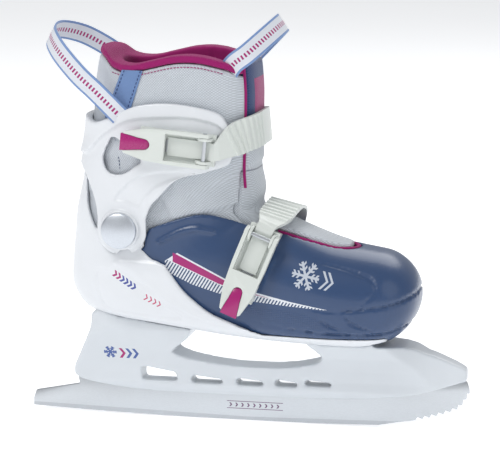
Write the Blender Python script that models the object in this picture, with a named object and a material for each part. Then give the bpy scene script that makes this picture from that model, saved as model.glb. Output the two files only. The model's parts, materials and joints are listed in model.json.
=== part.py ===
"""Size-adjustable children's ice skate for the right foot.

The origin lies on the flat of the blade's running edge, at the middle of its length.
+X points to the toe, +Y to the inner (medial) side and +Z up.
Sizes are in millimetres and become metres where a mesh is made.
"""
import math

import bmesh
import bpy
from mathutils import Matrix, Vector

MM = 0.001

# Overall sizes
BOOT_LENGTH = 233.0      # heel to toe over the shells
BOOT_HEIGHT = 250.0      # running edge to the collar
BOOT_WIDTH = 80.0        # across the ball over the toe shell

# Sizes that the outlines below are drawn for
DRAWN_LENGTH = 233.0
DRAWN_HEIGHT = 250.0
DRAWN_WIDTH = 80.0

# Walls and clearances
GAP = 0.3                # between pieces that touch
SHELL_WALL = 3.0
LINER_WALL = 5.0
LINER_GAP = 0.6          # between the lining and the toe shell
UPPER_LINER_EXTRA = 3.0  # the leg's lining is this much thicker on the outside
SOLE_DROP = 4.0          # thickness of the sole beyond the shell's wall
FOOTBED_THICKNESS = 3.0
COLLAR_THICKNESS = 7.0

# Blade and holder
BLADE_THICKNESS = 3.0
BLADE_FLAT = 25.0        # half length of the straight part of the running edge
HEEL_ROCKER = 2800.0
TOE_ROCKER = 1800.0
HOLDER_BEAM = 15.0       # width of the holder along the blade
HOLDER_TOP = 44.0        # width of the posts under the sole
SCREW_RADIUS = 2.0
SCREW_HEAD_RADIUS = 4.5
SCREW_HEAD_HEIGHT = 2.5
SCREW_DEPTH = 14.0
SCREW_SPREAD = 11.0      # each side of the middle

# Ankle pivot
PIVOT_X = -76.5
PIVOT_Z = 132.0
PIVOT_BOLT_RADIUS = 3.0
PIVOT_HEAD_RADIUS = 6.0
PIVOT_CAP_RADIUS = 11.8
PIVOT_CAP_HEIGHT = 4.2
PIVOT_WASHER_RADIUS = 8.0
PIVOT_WASHER_THICKNESS = 1.5
PIVOT_BOSS_RADIUS = 13.0
PIVOT_STANDOFF = 10.5    # the boss's face beyond the lining
SPLIT_RADIUS = 47.5      # the leg's lining turns outside this circle
FLEX_FORWARD = 12.0
FLEX_BACK = 2.0
LUG_ROOM = 0.73          # extra room inside the cuff for the ankle lug as it turns
INNER_RADIUS = 36.0      # the foot's lining ends inside this circle
SPLIT_LOW_ANGLE = 15.0   # top of the foot's lining, seen from the pivot

# Size adjustment
SIZE_TRAVEL = 20.0
WING_ROOT = 12.0         # half width of the sole that the wings leave unchanged
TOE_SPLIT_X = 20.0
BUTTON_X = -52.0
BUTTON_Z = 88.0
BUTTON_RADIUS = 6.0
BUTTON_TRAVEL = 1.6
BUTTON_PROUD = 2.6       # height of the button's collar over the wing
BUTTON_THICKNESS = 4.0
LATCH_RADIUS = 3.5
SPRING_WIRE = 0.3
SPRING_RADIUS = 2.4
SPRING_LENGTH = 1.7
TAB_SPRING_WIRE = 0.17

# Ratchet buckles, in a frame with x from the pin to the tail and z away from the boot
BUCKLE_LENGTH = 53.0
BUCKLE_HALF = 11.2
BUCKLE_TAIL_HALF = 8.2
BASE_PLATE = 2.0
PIN_HEIGHT = 7.0
PIN_RADIUS = 1.3
EAR_INNER = 6.6
EAR_OUTER = 8.4
LEVER_TOP = 9.6
LEVER_FLOOR = 5.4
TAB_PIN_X = 34.0
TAB_PIN_RADIUS = 1.0
LADDER_THICKNESS = 2.0
LADDER_TONGUE_HALF = 5.8
STRAP_HALF = 10.8
RIB_HEIGHT = 1.0
RIB_PITCH = 4.2
RIVET_RADIUS = 2.0
RIVET_HEAD_RADIUS = 4.2

# Pull loops
WEB_WIDTH = 13.5
WEB_THICKNESS = 1.4

RING_POINTS = 24
ROUND_SIDES = 20

WHITE = (0.86, 0.87, 0.89)
BUCKLE_WHITE = (0.80, 0.83, 0.80)
NAVY = (0.10, 0.16, 0.33)
MESH_GREY = (0.55, 0.57, 0.62)
MAGENTA = (0.62, 0.03, 0.26)
STEEL = (0.62, 0.63, 0.65)


def graded(x, z):
    """A drawn side-view point at the boot's own length and height."""
    return (x * BOOT_LENGTH / DRAWN_LENGTH, z * BOOT_HEIGHT / DRAWN_HEIGHT)


def graded_width(y):
    return y * BOOT_WIDTH / DRAWN_WIDTH


PIVOT = graded(PIVOT_X, PIVOT_Z)
BUTTON = graded(BUTTON_X, BUTTON_Z)
PIVOT_FACE = graded_width(31.5) + PIVOT_STANDOFF
TOE_SPLIT = graded(TOE_SPLIT_X, 0.0)[0]

# Cross-sections of the foot and leg: sole or back point, instep or front point, half width,
# squareness at the back, squareness at the front, share of the sole's extra thickness
STATIONS = (
    ((81.0, 65.5), (81.0, 116.7), 37.0, 3.4, 2.2, 1.25),
    ((60.0, 65.5), (60.0, 120.5), 39.0, 3.6, 2.2, 1.25),
    ((38.0, 65.5), (38.0, 128.5), 38.0, 3.6, 2.2, 1.2),
    ((15.0, 66.3), (22.0, 136.0), 36.0, 3.6, 2.2, 1.1),
    ((-10.0, 68.0), (13.0, 141.5), 34.0, 3.6, 2.3, 1.0),
    ((-35.0, 70.5), (9.0, 145.0), 33.0, 3.6, 2.4, 0.9),
    ((-60.0, 73.0), (8.0, 148.0), 32.5, 3.5, 2.5, 0.75),
    ((-85.0, 75.5), (8.5, 151.0), 32.0, 3.3, 2.5, 0.65),
    ((-104.0, 79.5), (9.5, 154.5), 31.5, 3.0, 2.6, 0.5),
    ((-113.0, 91.0), (9.5, 158.5), 31.3, 2.8, 2.7, 0.2),
    ((-113.8, 106.0), (8.5, 163.0), 31.8, 2.7, 2.8, 0.0),
    ((-112.0, 124.0), (7.0, 168.5), 33.0, 2.7, 2.9, 0.0),
    ((-110.3, 141.0), (6.2, 175.5), 34.0, 2.7, 3.0, 0.0),
    ((-106.5, 158.0), (6.0, 184.0), 34.6, 2.7, 3.0, 0.0),
    ((-103.5, 174.0), (6.0, 193.0), 35.0, 2.7, 3.0, 0.0),
    ((-99.8, 190.0), (6.0, 202.0), 35.3, 2.7, 3.0, 0.0),
    ((-98.2, 206.0), (6.0, 211.0), 35.5, 2.7, 3.0, 0.0),
    ((-97.2, 222.0), (6.0, 222.0), 35.5, 2.7, 3.0, 0.0),
    ((-95.2, 236.0), (5.0, 235.0), 35.5, 2.7, 3.0, 0.0),
    ((-92.3, 250.0), (3.5, 248.0), 35.0, 2.7, 3.0, 0.0),
)
TOE_CENTRE = (81.0, 90.0)
TOE_REACH = 31.0
TOE_UP = 26.7
TOE_DOWN = 24.5
TOE_ANGLES = (84.0, 72.0, 58.0, 42.0, 24.0)


# ---------------------------------------------------------------- meshes and materials

def clear_scene():
    for thing in list(bpy.data.objects):
        bpy.data.objects.remove(thing, do_unlink=True)


def material(name, colour, roughness, metallic=0.0):
    found = bpy.data.materials.get(name)
    if found:
        return found
    made = bpy.data.materials.new(name)
    made.use_nodes = True
    shader = made.node_tree.nodes["Principled BSDF"]
    shader.inputs["Base Color"].default_value = (*colour, 1.0)
    shader.inputs["Roughness"].default_value = roughness
    shader.inputs["Metallic"].default_value = metallic
    return made


def add_object(name, mesh, surface=None, parent=None):
    thing = bpy.data.objects.new(name, mesh)
    bpy.context.collection.objects.link(thing)
    if surface:
        mesh.materials.append(surface)
    if parent:
        thing.parent = parent
        thing.matrix_parent_inverse = parent.matrix_world.inverted()
    return thing


def mesh_from(points, faces):
    """A closed mesh from points in millimetres, with its faces turned outwards."""
    shape = bmesh.new()
    made = [shape.verts.new(Vector(point) * MM) for point in points]
    for face in faces:
        shape.faces.new([made[index] for index in face])
    bmesh.ops.recalc_face_normals(shape, faces=shape.faces)
    mesh = bpy.data.meshes.new("shape")
    shape.to_mesh(mesh)
    shape.free()
    return mesh


def skin(rings):
    """A closed mesh through rings that have the same number of points."""
    count = len(rings[0])
    points = [point for ring in rings for point in ring]
    faces = []
    for level in range(len(rings) - 1):
        for index in range(count):
            after = (index + 1) % count
            low = level * count
            high = low + count
            faces.append((low + index, low + after, high + after, high + index))
    faces.append(tuple(reversed(range(count))))
    last = (len(rings) - 1) * count
    faces.append(tuple(range(last, last + count)))
    return mesh_from(points, faces)


def side_plate(outline, y_from, y_to):
    """A side-view outline of (x, z) points, as thick as the two y values say."""
    return skin([[(x, y, z) for x, z in outline] for y in (y_from, y_to)])


def plan_plate(outline, z_from, z_to):
    """A top-view outline of (x, y) points between two heights."""
    return skin([[(x, y, z) for x, y in outline] for z in (z_from, z_to)])


def front_plate(outline, x_from, x_to):
    """A front-view outline of (y, z) points between two lengths."""
    return skin([[(x, y, z) for y, z in outline] for x in (x_from, x_to)])


def box(low, high):
    corners = ((low[0], low[1]), (high[0], low[1]), (high[0], high[1]), (low[0], high[1]))
    return plan_plate(corners, low[2], high[2])


def turned(profile, centre, axis, sides=ROUND_SIDES):
    """A solid of revolution from (distance along the axis, radius) pairs."""
    axis = Vector(axis).normalized()
    across = axis.orthogonal().normalized()
    up = axis.cross(across)
    rings = []
    for distance, radius in profile:
        middle = Vector(centre) + axis * distance
        ring = []
        for index in range(sides):
            angle = 2.0 * math.pi * index / sides
            ring.append(middle + (across * math.cos(angle) + up * math.sin(angle)) * radius)
        rings.append(ring)
    return skin(rings)


def rod(centre, axis, start, end, radius, sides=ROUND_SIDES):
    return turned(((start, radius), (end, radius)), centre, axis, sides)


def evaluated(thing):
    graph = bpy.context.evaluated_depsgraph_get()
    return bpy.data.meshes.new_from_object(thing.evaluated_get(graph))


def combine(mesh, other, operation):
    """The Boolean of two meshes, as a new mesh."""
    target = add_object("target", mesh)
    tool = add_object("tool", other)
    modifier = target.modifiers.new("combine", "BOOLEAN")
    modifier.operation = operation
    modifier.solver = "EXACT"
    modifier.object = tool
    result = evaluated(target)
    bpy.data.objects.remove(target, do_unlink=True)
    bpy.data.objects.remove(tool, do_unlink=True)
    return result


def minus(mesh, *others):
    for other in others:
        mesh = combine(mesh, other, "DIFFERENCE")
    return mesh


def within(mesh, *others):
    for other in others:
        mesh = combine(mesh, other, "INTERSECT")
    return mesh


def joined(mesh, *others):
    for other in others:
        mesh = combine(mesh, other, "UNION")
    return mesh


def finish(name, mesh, surface, parent, smooth_angle=35.0):
    """The named sub-part, with round surfaces shaded smooth."""
    shape = bmesh.new()
    shape.from_mesh(mesh)
    bmesh.ops.remove_doubles(shape, verts=shape.verts, dist=0.0002 * MM)
    shape.to_mesh(mesh)
    shape.free()
    mesh.shade_smooth()
    mesh.set_sharp_from_angle(angle=math.radians(smooth_angle))
    mesh.materials.clear()
    return add_object(name, mesh, surface, parent)


def smooth_curve(points, steps=4, closed=False):
    """Points along a Catmull-Rom curve through the given points."""
    count = len(points)
    vectors = [Vector(point) for point in points]
    out = []
    spans = count if closed else count - 1
    for index in range(spans):
        if closed:
            four = [vectors[(index + shift) % count] for shift in (-1, 0, 1, 2)]
        else:
            four = [vectors[min(max(index + shift, 0), count - 1)] for shift in (-1, 0, 1, 2)]
        before, start, end, after = four
        for step in range(steps):
            t = step / steps
            out.append(0.5 * (2.0 * start + (end - before) * t
                              + (2.0 * before - 5.0 * start + 4.0 * end - after) * t ** 2
                              + (3.0 * start - before - 3.0 * end + after) * t ** 3))
    if not closed:
        out.append(vectors[-1])
    return out


def outline(points, steps=3):
    """A graded open curve in side view."""
    return [tuple(point) for point in smooth_curve([graded(x, z) for x, z in points], steps)]


def arc(centre, radius, start, end, steps):
    """Side-view points on a circle, angles in degrees from +X towards +Z."""
    points = []
    for step in range(steps + 1):
        angle = math.radians(start + (end - start) * step / steps)
        points.append((centre[0] + radius * math.cos(angle), centre[1] + radius * math.sin(angle)))
    return points


# ---------------------------------------------------------------- the boot's own shape

def blend_in(value, start, end):
    """0 at start and 1 at end, with smooth ends."""
    share = min(max((value - start) / (end - start), 0.0), 1.0)
    return share * share * (3.0 - 2.0 * share)


def signed_power(value, power):
    return math.copysign(abs(value) ** power, value)


def section(back, front, half_width, back_power, front_power, count):
    """One closed cross-section in the plane of the Y axis and the back-to-front line."""
    back = Vector((back[0], 0.0, back[1]))
    front = Vector((front[0], 0.0, front[1]))
    middle = (back + front) / 2.0
    reach = (front - back) / 2.0
    ring = []
    for index in range(count):
        angle = 2.0 * math.pi * index / count
        power = 2.0 / (front_power if math.cos(angle) > 0.0 else back_power)
        along = signed_power(math.cos(angle), power)
        across = signed_power(math.sin(angle), power)
        ring.append(middle + reach * along + Vector((0.0, half_width * across, 0.0)))
    return ring


def outward(points, index, side):
    """Unit normal of a side-view curve that runs from the toe to the collar."""
    if index == 0:
        return Vector((0.0, -side))
    along = points[min(index + 1, len(points) - 1)] - points[index - 1]
    return Vector((along.y, -along.x)).normalized() * -side


def boot_rings(offset, sole=0.0, wing=0.0, count=RING_POINTS):
    """Rings of the foot and leg, moved out by the offset, from the toe to the collar.

    The sole's underside drops by the extra sole thickness, and the heel shell's wings
    stand out by their own share where they pass outside the toe shell.
    """
    rings = []
    ratio = BOOT_WIDTH / DRAWN_WIDTH
    back, front, half, back_power, front_power, share = STATIONS[0]
    for degrees in TOE_ANGLES:
        angle = math.radians(degrees)
        x, z = graded(*TOE_CENTRE)
        reach = graded(TOE_REACH, 0.0)[0] + offset
        up = graded(0.0, TOE_UP)[1] + offset
        down = graded(0.0, TOE_DOWN)[1] + offset + sole * share
        x += reach * math.sin(angle)
        width = (half * ratio + offset) * math.cos(angle) ** 0.75
        low = (x, z - down * math.cos(angle))
        high = (x, z + up * math.cos(angle))
        rings.append(section(low, high, width, back_power - 1.0 * math.sin(angle), front_power, count))
    lows = [Vector(graded(*station[0])) for station in STATIONS]
    highs = [Vector(graded(*station[1])) for station in STATIONS]
    for index, (_, _, half, back_power, front_power, share) in enumerate(STATIONS):
        low = lows[index] + outward(lows, index, 1.0) * (offset + sole * share)
        high = highs[index] + outward(highs, index, -1.0) * offset
        rings.append(section(low, high, half * ratio + offset, back_power, front_power, count))
    rise = Vector((0.0, 0.0, 8.0 - 0.5 * offset))
    rings.append([point + rise for point in rings[-1]])
    if wing:
        for ring in rings:
            for point in ring:
                point.y += wing * wing_share(point) * min(max(point.y / WING_ROOT, -1.0), 1.0)
    return rings


def wing_share(point):
    """How far the wings stand out at a point: full beside the instep, little at the toe."""
    ramp_from, ramp_low = graded(-100.0, 110.0)
    ramp_to, ramp_high = graded(-77.0, 121.0)
    front_from = graded(-5.0, 0.0)[0]
    front_to = graded(40.0, 0.0)[0]
    share = blend_in(point.x, ramp_from, ramp_to)
    share *= 1.0 - 0.75 * blend_in(point.x, front_from, front_to)
    share *= 1.0 - blend_in(point.z, ramp_low, ramp_high)
    return share


def boot(offset, sole=0.0, wing=0.0):
    return skin(boot_rings(offset, sole, wing))


def leg_point(angle, z, offset):
    """A point on the leg, angle in degrees from the front towards the lateral side."""
    low, high = None, None
    for index in range(len(STATIONS) - 1):
        front_z = graded(*STATIONS[index][1])[1]
        next_z = graded(*STATIONS[index + 1][1])[1]
        if front_z <= z <= next_z:
            low, high = STATIONS[index], STATIONS[index + 1]
            t = (z - front_z) / (next_z - front_z)
    back_x = low[0][0] + (high[0][0] - low[0][0]) * t
    front_x = low[1][0] + (high[1][0] - low[1][0]) * t
    half = graded_width(low[2] + (high[2] - low[2]) * t) + offset
    back_x = graded(back_x, 0.0)[0] - offset
    front_x = graded(front_x, 0.0)[0] + offset
    turn = math.radians(angle)
    power = 2.0 / (low[4] if math.cos(turn) > 0.0 else low[3])
    x = (back_x + front_x) / 2.0 + (front_x - back_x) / 2.0 * signed_power(math.cos(turn), power)
    y = -half * signed_power(math.sin(turn), power)
    return Vector((x, y, z))


FAR = 200.0


def upper_region(gap, top):
    """Side-view region that turns with the cuff, outside the split circle."""
    high_angle = SPLIT_LOW_ANGLE + FLEX_FORWARD
    radius = SPLIT_RADIUS + gap
    ray = (PIVOT[0] + FAR * math.cos(math.radians(high_angle)),
           PIVOT[1] + FAR * math.sin(math.radians(high_angle)))
    rim = arc(PIVOT, radius, high_angle, 150.0, 12)
    back = (PIVOT[0] - FAR, rim[-1][1] + 40.0)
    return [ray] + rim + [back, (PIVOT[0] - FAR, top[0][1])] + top


def lower_region(gap):
    """Side-view region of the foot's lining, inside the split circle and below the instep."""
    rim = arc(PIVOT, INNER_RADIUS, SPLIT_LOW_ANGLE, 170.0, 12)
    ray_x = TOE_SPLIT - gap / 2.0
    ray_z = PIVOT[1] + (ray_x - PIVOT[0]) * math.tan(math.radians(SPLIT_LOW_ANGLE))
    return [(ray_x, ray_z)] + rim + [(-FAR, rim[-1][1]), (-FAR, 20.0), (ray_x, 20.0)]


# ---------------------------------------------------------------- blade and holder

def rocker_height(x):
    """Height of the running edge above its flat middle."""
    beyond = abs(x) - BLADE_FLAT
    if beyond <= 0.0:
        return 0.0
    radius = TOE_ROCKER if x > 0.0 else HEEL_ROCKER
    return radius - math.sqrt(radius ** 2 - beyond ** 2)


BLADE_TAIL = graded(-148.0, 0.0)[0]
BLADE_STEP = graded(-116.5, 0.0)[0]  # the blade's top meets the holder here
BLADE_NOSE = graded(148.5, 0.0)[0]
TOOTH_COUNT = 6
TAB_TOP = 34.0
BLADE_TOP = 22.5
PLATE_FRONT = graded(96.0, 0.0)[0]
LIP_BACK = graded(88.0, 0.0)[0]
PLATE_TOP = graded(0.0, 65.5)[1] - GAP
REAR_TAB = (graded(-99.0, 0.0)[0], graded(-75.0, 0.0)[0])
FRONT_TAB = (graded(64.0, 0.0)[0], graded(106.0, 0.0)[0])


def blade_edge():
    """The running edge from the tail to the toe pick."""
    last = graded(88.0, 0.0)[0]
    points = []
    for index in range(8):
        x = BLADE_TAIL + (-BLADE_FLAT - BLADE_TAIL) * index / 7
        points.append((x, rocker_height(x)))
    for index in range(6):
        x = BLADE_FLAT + (last - BLADE_FLAT) * index / 5
        points.append((x, rocker_height(x)))
    return points


def toe_pick():
    """Saw teeth up the rounded front of the blade."""
    nose = smooth_curve([(BLADE_NOSE - 47.0, 3.8), (BLADE_NOSE - 33.7, 6.0), (BLADE_NOSE - 20.0, 9.7),
                         (BLADE_NOSE - 7.0, 15.5), (BLADE_NOSE, 26.5)], TOOTH_COUNT)
    points = []
    for index, point in enumerate(nose):
        depth = 0.0 if index < 6 or index % 2 else 1.9
        points.append((point.x - depth * 0.5, point.y + depth))
    return points


def blade_upper(extra):
    """The blade's top, hidden in the holder, with a tab in each post."""
    top = BLADE_TOP + extra
    high = TAB_TOP + extra
    low_front = FRONT_TAB[0] - extra
    high_front = FRONT_TAB[1] + extra
    low_rear = REAR_TAB[0] - extra
    high_rear = REAR_TAB[1] + extra
    nose = BLADE_NOSE - 2.5
    return [(nose, 32.7), (nose - 1.0, 33.4 + extra), (high_front + 8.0, 28.0 + extra),
            (high_front, high), (low_front, high), (low_front - 4.0, top), (high_rear + 4.0, top),
            (high_rear, high), (low_rear, high), (low_rear - 6.0, 26.5 + extra)]


def make_blade(root):
    tail = [(BLADE_STEP, 24.5), (BLADE_STEP + 1.0, 19.2), (BLADE_TAIL + 2.0, 13.1),
            (BLADE_TAIL + 0.2, 8.0)]
    edge = blade_edge() + toe_pick() + blade_upper(0.0) + tail
    half = BLADE_THICKNESS / 2.0
    mesh = side_plate(edge, -half, half)
    finish("blade", mesh, material("blade_steel", STEEL, 0.22, 1.0), root)


def holder_outline():
    rear = outline([(-112.5, 24.0), (-116.9, 27.0), (-117.5, 30.5), (-115.5, 36.5), (-104.0, 60.0),
                    (-102.5, 71.0)], 3)
    top = [graded(-95.0, 78.0), graded(-30.0, 78.0)]
    window = outline([(-33.5, 64.0), (-38.0, 56.5), (-47.5, 48.5), (-47.0, 45.2), (-31.2, 41.1),
                      (-4.2, 38.3), (25.0, 38.7), (45.5, 42.3), (52.0, 46.5), (48.5, 51.5),
                      (42.0, 57.5), (40.0, 64.0)], 3)
    lip_top = TOE_CENTRE[1] - TOE_DOWN - SHELL_WALL - SOLE_DROP * 1.25 - 2.0 * GAP
    lip_top = graded(0.0, lip_top)[1]
    nose = [graded(40.0, 78.0), (LIP_BACK - 1.5, graded(0.0, 78.0)[1]), (LIP_BACK - 1.5, lip_top),
            (graded(106.0, 0.0)[0], lip_top)]
    nose += outline([(113.0, 55.6), (119.5, 52.6)], 1)
    nose += outline([(120.8, 50.8), (122.6, 51.7), (143.0, 43.6), (146.2, 40.0), (145.9, 33.6)], 3)
    low = outline([(142.5, 33.0), (115.6, 24.3), (88.6, 19.6), (61.6, 17.6), (34.6, 16.6),
                   (-5.9, 16.2), (-46.4, 16.7), (-73.4, 17.4), (-86.9, 18.9), (-100.4, 21.1)], 2)
    return rear + top + window + nose + low


def holder_slots():
    """Centres and sizes of the five slots over the blade, as side-view outlines."""
    slots = ((-71.0, -46.5, 25.2, 35.0), (-37.0, -15.5, 24.6, 30.0), (-6.5, 12.0, 24.6, 29.6),
             (19.5, 35.0, 25.0, 29.8), (39.5, 58.0, 26.2, 30.4))
    outlines = []
    for start, end, low, high in slots:
        x_low, z_low = graded(start, low)
        x_high, z_high = graded(end, high)
        slope = (z_high - z_low) * 0.35
        outlines.append([(x_low, z_low + 1.2), (x_low + 1.5, z_low), (x_high - 1.0, z_low),
                         (x_high, z_low + 1.5), (x_high - 1.5, z_high - slope),
                         (x_low + 1.5, z_high), (x_low, z_high - 1.5)])
    return outlines


def screw_places():
    rear = graded(-82.0, 0.0)[0]
    front = graded(76.0, 0.0)[0]
    return [("rear_lateral", rear, -SCREW_SPREAD), ("rear_medial", rear, SCREW_SPREAD),
            ("front_lateral", front, -SCREW_SPREAD), ("front_medial", front, SCREW_SPREAD)]


def floor_height(x):
    """Top of the sole plate at a length, on the middle line."""
    points = [graded(*station[0]) for station in STATIONS[:8]]
    for (x_high, z_high), (x_low, z_low) in zip(points, points[1:]):
        if x_low <= x <= x_high:
            return z_low + (z_high - z_low) * (x - x_low) / (x_high - x_low) - GAP
    return points[0][1] - GAP


def screw_seat(x):
    """Height of the underside of a holder screw's head."""
    return floor_height(x) - 1.0 - SCREW_HEAD_HEIGHT - GAP


def holder_profile():
    """Front view of the holder, wide under the sole and narrow along the blade."""
    beam = HOLDER_BEAM / 2.0
    top = HOLDER_TOP / 2.0
    right = [(2.9, 15.0), (3.4, 18.5), (beam, 23.0), (beam, 29.5), (beam + 2.5, 38.0),
             (beam + 6.0, 47.0), (top - 3.5, 56.0), (top, 63.0), (top, 95.0)]
    return [(-y, z) for y, z in reversed(right)] + right


def holder_plan():
    """Top view of the holder, with a narrow nose and a rounded tail."""
    half = HOLDER_TOP / 2.0
    tail = graded(-121.0, 0.0)[0]
    nose = graded(147.5, 0.0)[0]
    side = [(tail, 4.0), (tail + 4.0, 9.5), (tail + 16.0, 17.0), (tail + 32.0, half + 1.0),
            (nose - 62.0, half + 1.0), (nose - 46.0, 15.0), (nose - 26.0, 8.2), (nose - 8.0, 6.4),
            (nose - 1.5, 4.6), (nose, 2.6)]
    return side + [(x, -y) for x, y in reversed(side)]


def make_holder(root):
    wide = HOLDER_TOP
    mesh = side_plate(holder_outline(), -wide, wide)
    mesh = within(mesh, front_plate(holder_profile(), -FAR, FAR), plan_plate(holder_plan(), 0.0, 120.0))
    mesh = minus(mesh, boot(SHELL_WALL + 2.0 * GAP, SOLE_DROP, SHELL_WALL + GAP))
    for slot in holder_slots():
        mesh = minus(mesh, side_plate(slot, -wide, wide))
    half = BLADE_THICKNESS / 2.0 + GAP
    groove = [(BLADE_TAIL - 5.0, -2.0), (BLADE_NOSE + 5.0, -2.0), (BLADE_NOSE + 5.0, 33.4 + GAP)]
    groove += blade_upper(GAP)[1:] + [(BLADE_STEP - GAP, 24.5 + GAP), (BLADE_STEP - 3.5, 19.0),
                                      (BLADE_TAIL - 5.0, 19.0)]
    mesh = minus(mesh, side_plate(groove, -half, half))
    for _, x, y in screw_places():
        seat = screw_seat(x)
        bore = rod((x, y, seat), (0, 0, 1), GAP - SCREW_DEPTH * 2.0, 20.0, SCREW_RADIUS + GAP, 12)
        low = seat - SCREW_DEPTH - 2.0 * GAP
        stop = box((x - 5.0, y - 5.0, low), (x + 5.0, y + 5.0, low + FAR))
        mesh = minus(mesh, within(bore, stop))
    finish("blade_holder", mesh, material("holder_plastic", WHITE, 0.32), root, 30.0)


def make_screws(root):
    steel = material("screw_steel", STEEL, 0.3, 1.0)
    for name, x, y in screw_places():
        profile = ((-SCREW_DEPTH, SCREW_RADIUS), (0.0, SCREW_RADIUS), (0.0, SCREW_HEAD_RADIUS),
                   (SCREW_HEAD_HEIGHT, SCREW_HEAD_RADIUS * 0.8))
        mesh = turned(profile, (x, y, screw_seat(x)), (0, 0, 1), 14)
        finish("holder_screw_" + name, mesh, steel, root)


# ---------------------------------------------------------------- hard shells

def heel_outline():
    """Side view of the heel shell: heel cup, spine, ankle lug, wing and sole plate."""
    lug = arc(PIVOT, 15.5, 115.0, 20.0, 6)
    spine = outline([(-125.0, 167.0), (-112.0, 167.5), (-104.5, 166.0), (-102.6, 161.0), (-101.6, 150.0),
                     (-99.6, 141.0), (-94.5, 129.5)], 3)
    wing = outline([(-62.0, 118.0), (-57.0, 113.5), (-50.5, 111.0), (-45.9, 106.7), (-35.8, 93.6),
                    (-25.7, 84.6), (-15.5, 77.6), (1.3, 70.2), (14.0, 66.6)], 3)
    plate = [(graded(17.5, 0.0)[0], PLATE_TOP), (PLATE_FRONT, PLATE_TOP), (PLATE_FRONT, PLATE_TOP - 3.6),
             (LIP_BACK - 2.0, PLATE_TOP - 4.8), (LIP_BACK - 2.0, 30.0)]
    return spine + lug + wing + plate + [(-FAR, 30.0), (-FAR, graded(0.0, 167.0)[1])]


def toe_hidden_edge():
    """The toe shell's rear edge, which lies inside the heel shell's wings."""
    return [(-58.5, 132.5), (-61.0, 128.0), (-61.5, 121.0), (-70.0, 112.0), (-76.0, 104.0), (-76.0, 79.0)]


def toe_outline(grow=0.0):
    """Side view of the toe shell, with its lip hooked under the sole plate's front."""
    low = PLATE_TOP + GAP - grow
    upper = outline([(-58.5, 132.5), (-49.7, 136.0), (-36.0, 140.5), (-22.7, 143.0), (-9.2, 140.5),
                     (5.6, 136.5), (28.0, 133.0), (60.0, 131.0)], 3)
    front = [graded(130.0, 131.0), graded(130.0, 50.0), (LIP_BACK, graded(0.0, 50.0)[1]),
             (LIP_BACK, PLATE_TOP - 4.8 - GAP), (PLATE_FRONT + GAP, PLATE_TOP - 3.6 - GAP),
             (PLATE_FRONT + GAP, low)]
    rear = [graded(x, z) for x, z in reversed(toe_hidden_edge()[1:])]
    rear = [(x - grow, z) for x, z in rear]
    floor = [(graded(-30.0, 0.0)[0], low), (rear[0][0], rear[0][1] - grow)]
    return upper + front + floor + rear


def throat_outline():
    """Top view of the toe shell's opening over the instep."""
    side = smooth_curve([graded(x, y) for x, y in ((76.0, 0.0), (74.0, 8.0), (66.0, 14.5), (50.0, 18.5),
                                                   (30.0, 22.0), (8.0, 25.5), (-20.0, 27.5), (-90.0, 28.0))], 2)
    side = [(point.x, graded_width(point.y * DRAWN_HEIGHT / BOOT_HEIGHT)) for point in side]
    return side + [(x, -y) for x, y in reversed(side[1:])]


def make_heel_shell(root):
    mesh = boot(SHELL_WALL + GAP, SOLE_DROP, SHELL_WALL + GAP)
    mesh = within(mesh, side_plate(heel_outline(), -70.0, 70.0))
    mesh = minus(mesh, boot(GAP))
    pocket = within(boot(SHELL_WALL + 2.0 * GAP, SOLE_DROP), side_plate(toe_outline(GAP), -70.0, 70.0))
    mesh = minus(mesh, pocket)
    for _, x, y in screw_places():
        seat = screw_seat(x)
        hole = ((-30.0, SCREW_RADIUS + GAP), (-GAP, SCREW_RADIUS + GAP), (-GAP, SCREW_HEAD_RADIUS + GAP),
                (30.0, SCREW_HEAD_RADIUS + GAP))
        mesh = minus(mesh, turned(hole, (x, y, seat), (0, 0, 1), 14))
    centre = (PIVOT[0], 0.0, PIVOT[1])
    mesh = minus(mesh, rod(centre, (0, 1, 0), -70.0, 70.0, PIVOT_BOLT_RADIUS + GAP))
    button = (BUTTON[0], 0.0, BUTTON[1])
    collar = rod(button, (0, 1, 0), button_face() - 1.5, button_face() + BUTTON_PROUD, BUTTON_RADIUS + 2.5)
    mesh = joined(mesh, collar)
    mesh = minus(mesh, rod(button, (0, 1, 0), 20.0, 70.0, BUTTON_RADIUS + GAP))
    finish("heel_shell", mesh, material("shell_plastic", WHITE, 0.32), root, 30.0)


def toe_wall(gap, reach_back):
    """The toe shell's wall, grown by a gap, with its rear edge further back by the reach."""
    side = [(x - reach_back, z) if x < graded(-40.0, 0.0)[0] else (x, z) for x, z in toe_outline(gap)]
    mesh = within(boot(SHELL_WALL + GAP + gap, SOLE_DROP), side_plate(side, -70.0, 70.0))
    mesh = minus(mesh, boot(LINER_GAP - gap))
    floor_half = graded_width(27.0) - gap
    low, high = (-FAR, -floor_half, 0.0), (TOE_SPLIT + 5.0, floor_half, graded(0.0, 96.0)[1])
    return minus(mesh, box(low, high))


def make_toe_shell(toe):
    mesh = toe_wall(0.0, 0.0)
    mesh = minus(mesh, plan_plate(throat_outline(), graded(0.0, 104.0)[1], FAR))
    slot_z = BUTTON[1]
    reach = LATCH_RADIUS + GAP
    slot = arc((BUTTON[0], slot_z), reach, -90.0, 90.0, 6)
    slot += arc((BUTTON[0] - SIZE_TRAVEL, slot_z), reach, 90.0, 270.0, 6)
    mesh = minus(mesh, side_plate(slot, 15.0, 70.0))
    finish("toe_shell", mesh, material("toe_plastic", NAVY, 0.38), toe, 30.0)


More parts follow.
